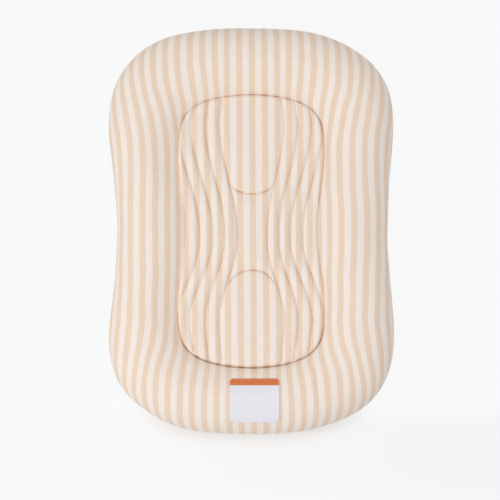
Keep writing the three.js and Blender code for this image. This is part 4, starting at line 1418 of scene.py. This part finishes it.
# One side's teeth stand at every pitch along the cord and reach past the middle
def buildTeeth():
    tree, given, out = geometryTree("Teeth row", {
        "Pitch": "Float", "Cord size": "Float", "Body": "Vector", "Body at": "Vector", "Head": "Vector",
        "Head at": "Vector", "Tooth material": "Material", "Cord material": "Material",
    })
    line = put(tree, "GeometryNodeMeshToCurve", (-700, 200), {"Mesh": given["Geometry"]}).outputs["Curve"]
    tooth = put(tree, "GeometryNodeJoinGeometry", (-280, -300))
    for part, level in (("Body", -200), ("Head", -500)):
        ball = put(tree, "GeometryNodeMeshUVSphere", (-700, level), {"Segments": 8, "Rings": 5, "Radius": 1})
        shaped = {"Geometry": ball.outputs["Mesh"], "Scale": given[part], "Translation": given[part + " at"]}
        shaped = put(tree, "GeometryNodeTransform", (-480, level), shaped)
        feed(tree, tooth.inputs["Geometry"], shaped.outputs["Geometry"])
    spots = {"Curve": line, "Length": given["Pitch"]}
    spots = put(tree, "GeometryNodeCurveToPoints", (-480, 200), spots, mode="LENGTH")
    placed = {"Points": spots.outputs["Points"], "Instance": tooth.outputs["Geometry"]}
    placed = put(tree, "GeometryNodeInstanceOnPoints", (-60, 200), placed)
    real = put(tree, "GeometryNodeRealizeInstances", (140, 200), {"Geometry": placed.outputs["Instances"]})
    coated = {"Geometry": real.outputs["Geometry"], "Material": given["Tooth material"]}
    coated = put(tree, "GeometryNodeSetMaterial", (340, 200), coated)
    circle = {"Resolution": 8, "Radius": given["Cord size"]}
    circle = put(tree, "GeometryNodeCurvePrimitiveCircle", (-280, 500), circle).outputs["Curve"]
    cord = {"Curve": line, "Profile Curve": circle, "Fill Caps": True}
    cord = put(tree, "GeometryNodeCurveToMesh", (-60, 500), cord)
    wound = {"Geometry": cord.outputs["Mesh"], "Material": given["Cord material"]}
    wound = put(tree, "GeometryNodeSetMaterial", (140, 500), wound)
    both = put(tree, "GeometryNodeJoinGeometry", (540, 300))
    for part in (coated, wound):
        feed(tree, both.inputs["Geometry"], part.outputs["Geometry"])
    smooth = put(tree, "GeometryNodeSetShadeSmooth", (740, 300), {"Geometry": both.outputs["Geometry"]})
    feed(tree, out["Geometry"], smooth.outputs["Geometry"])
    return tree


zipPlastic = hardSurface("zip_plastic", wearLook, **zipLook["plastic"])
zipMetal = hardSurface("zip_metal", wearLook, **zipLook["metal"])
zipTape = plainCloth("zip_tape", **zipLook["tape"])
casing = plainCloth("casing_cloth", **casingLook)
teethTree = buildTeeth()
for side, name in ((-1, "left"), (1, "right")):
    shift = zipLook["pitch"] / 2 if side < 0 else 0
    ends = (-zipLook["chainHalf"] + zipLook["endGaps"][0] + shift, zipLook["chainHalf"] - zipLook["endGaps"][1] + shift)
    at = side * zipLook["cordAt"]
    line = [(at, y, zipLook["middle"]) for y in np.linspace(*ends, zipLook["lineSteps"])]
    body, head = zipLook["toothAt"] - zipLook["cordAt"], zipLook["headAt"] - zipLook["cordAt"]
    teeth = grow(carrier("teeth_" + name, [line]), teethTree, **{
        "Pitch": zipLook["pitch"], "Cord size": zipLook["cordSize"], "Body": zipLook["tooth"],
        "Body at": (side * body, 0, 0), "Head": zipLook["head"], "Head at": (side * head, 0, 0),
        "Tooth material": zipPlastic, "Cord material": zipTape})
    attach(teeth, "lounger")
    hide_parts("zip_teeth_" + name)
finishes = {
    "zip_tape_left": zipTape, "zip_tape_right": zipTape,
    "zip_top_stop_left": zipPlastic, "zip_top_stop_right": zipPlastic, "zip_bottom_stop": zipPlastic,
    "zip_slider": zipMetal, "zip_slider_back": zipMetal, "zip_pull": zipMetal, "liner_base": casing,
}
for name, material in finishes.items():
    for place in nodes[name].material_slots:
        place.material = material
report("zip made")


# Pale floor and backdrop: the camera sees it almost white, and it keeps the soft shadow at the object's foot
studio = {
    "floorSize": 14.0,
    "floorDrop": 0.0004,
    "floorColour": (250, 250, 250),
    "seenColour": (249, 250, 250),
    "seenShare": 0.94,
    "footShadow": {"share": 0.45, "from": -0.32, "full": -0.37, "until": -0.44, "gone": -0.56},
    "skyStrength": 0.57,
    "skyColour": (250, 250, 252),
    "lamps": [
        {"name": "overhead", "place": (0, 0, 3.2), "size": 1.6, "power": 27},
        {"name": "side", "place": (-2.0, -1.2, 2.2), "size": 1.5, "power": 23.5},
    ],
    "lampColour": (1.0, 0.985, 0.965),
    "lampTarget": (0, 0, 0.05),
}


def pathMask(tree, at):
    path = put(tree, "ShaderNodeLightPath", at).outputs
    seen = sumNode(tree, "MAXIMUM", path["Is Camera Ray"], path["Is Glossy Ray"], at=(at[0] + 180, at[1]))
    return sumNode(tree, "MAXIMUM", seen, path["Is Transmission Ray"], at=(at[0] + 340, at[1]))


def makeFloor(look):
    half = look["floorSize"] / 2
    corners = [(-half, -half), (half, -half), (half, half), (-half, half)]
    floor = meshObject("floor", [(x, y, -look["floorDrop"]) for x, y in corners], [[0, 1, 2, 3]], smooth=False)
    material, tree, surface = emptyMaterial("floor_paper", 1.0)
    surface["Base Color"].default_value = linear(*look["floorColour"])
    surface["Specular IOR Level"].default_value = 0
    glow = put(tree, "ShaderNodeEmission", (0, -300), {"Color": linear(*look["seenColour"])})
    place = put(tree, "ShaderNodeTexCoord", (-1100, 600)).outputs["Object"]
    place = put(tree, "ShaderNodeSeparateXYZ", (-900, 600), {0: place}).outputs["Y"]
    shadow = look["footShadow"]
    ramps = []
    for start, end, level in ((shadow["from"], shadow["full"], 700), (shadow["gone"], shadow["until"], 440)):
        ramp = {"Value": place, "From Min": start, "From Max": end}
        ramp = put(tree, "ShaderNodeMapRange", (-700, level), ramp, interpolation_type="SMOOTHSTEP")
        ramps.append(ramp.outputs["Result"])
    near = sumNode(tree, "MULTIPLY", *ramps, at=(-460, 600))
    kept = sumNode(tree, "MULTIPLY_ADD", near, shadow["share"] - look["seenShare"], look["seenShare"], at=(-260, 600))
    share = sumNode(tree, "MULTIPLY", pathMask(tree, (-600, 300)), kept, at=(0, 300))
    lit = tree.nodes["Principled BSDF"].outputs[0]
    blend = put(tree, "ShaderNodeMixShader", (260, 0), {0: share, 1: lit, 2: glow.outputs[0]})
    feed(tree, tree.nodes["Material Output"].inputs["Surface"], blend.outputs[0])
    floor.data.materials.append(material)


def makeSky(look):
    world = bpy.data.worlds.new("studio_sky")
    bpy.context.scene.world = world
    world.use_nodes = True
    tree = world.node_tree
    lit = tree.nodes["Background"]
    lit.inputs["Color"].default_value = linear(*look["skyColour"])
    lit.inputs["Strength"].default_value = look["skyStrength"]
    seen = put(tree, "ShaderNodeBackground", (0, -200), {"Color": linear(*look["seenColour"]), "Strength": 1})
    blend = {0: pathMask(tree, (-600, 300)), 1: lit.outputs[0], 2: seen.outputs[0]}
    blend = put(tree, "ShaderNodeMixShader", (300, 0), blend)
    feed(tree, tree.nodes["World Output"].inputs["Surface"], blend.outputs[0])


def aimAt(thing, place, target):
    thing.location = place
    thing.rotation_euler = (Vector(target) - Vector(place)).to_track_quat("-Z", "Y").to_euler()


def makeLamp(look, colour, target):
    light = bpy.data.lights.new(look["name"], "AREA")
    light.shape = "DISK"
    light.size = look["size"]
    light.energy = look["power"]
    light.color = colour
    aimAt(addObject(look["name"], light), look["place"], target)


makeFloor(studio)
makeSky(studio)
for lamp in studio["lamps"]:
    makeLamp(lamp, studio["lampColour"], studio["lampTarget"])

# Camera high over the foot end, with a long lens
view = {"elevation": 80, "distance": 10.282, "lens": 400, "sensor": 36, "target": (-0.0019, -0.0414, 0.07)}
lens = bpy.data.cameras.new("camera")
lens.lens = view["lens"]
lens.sensor_width = view["sensor"]
camera = addObject("camera", lens)
tilt = math.radians(view["elevation"])
away = Vector((0, -math.cos(tilt), math.sin(tilt))) * view["distance"]
aimAt(camera, Vector(view["target"]) + away, view["target"])
bpy.context.scene.camera = camera
bpy.context.scene.view_settings.view_transform = "Standard"
report("studio set")
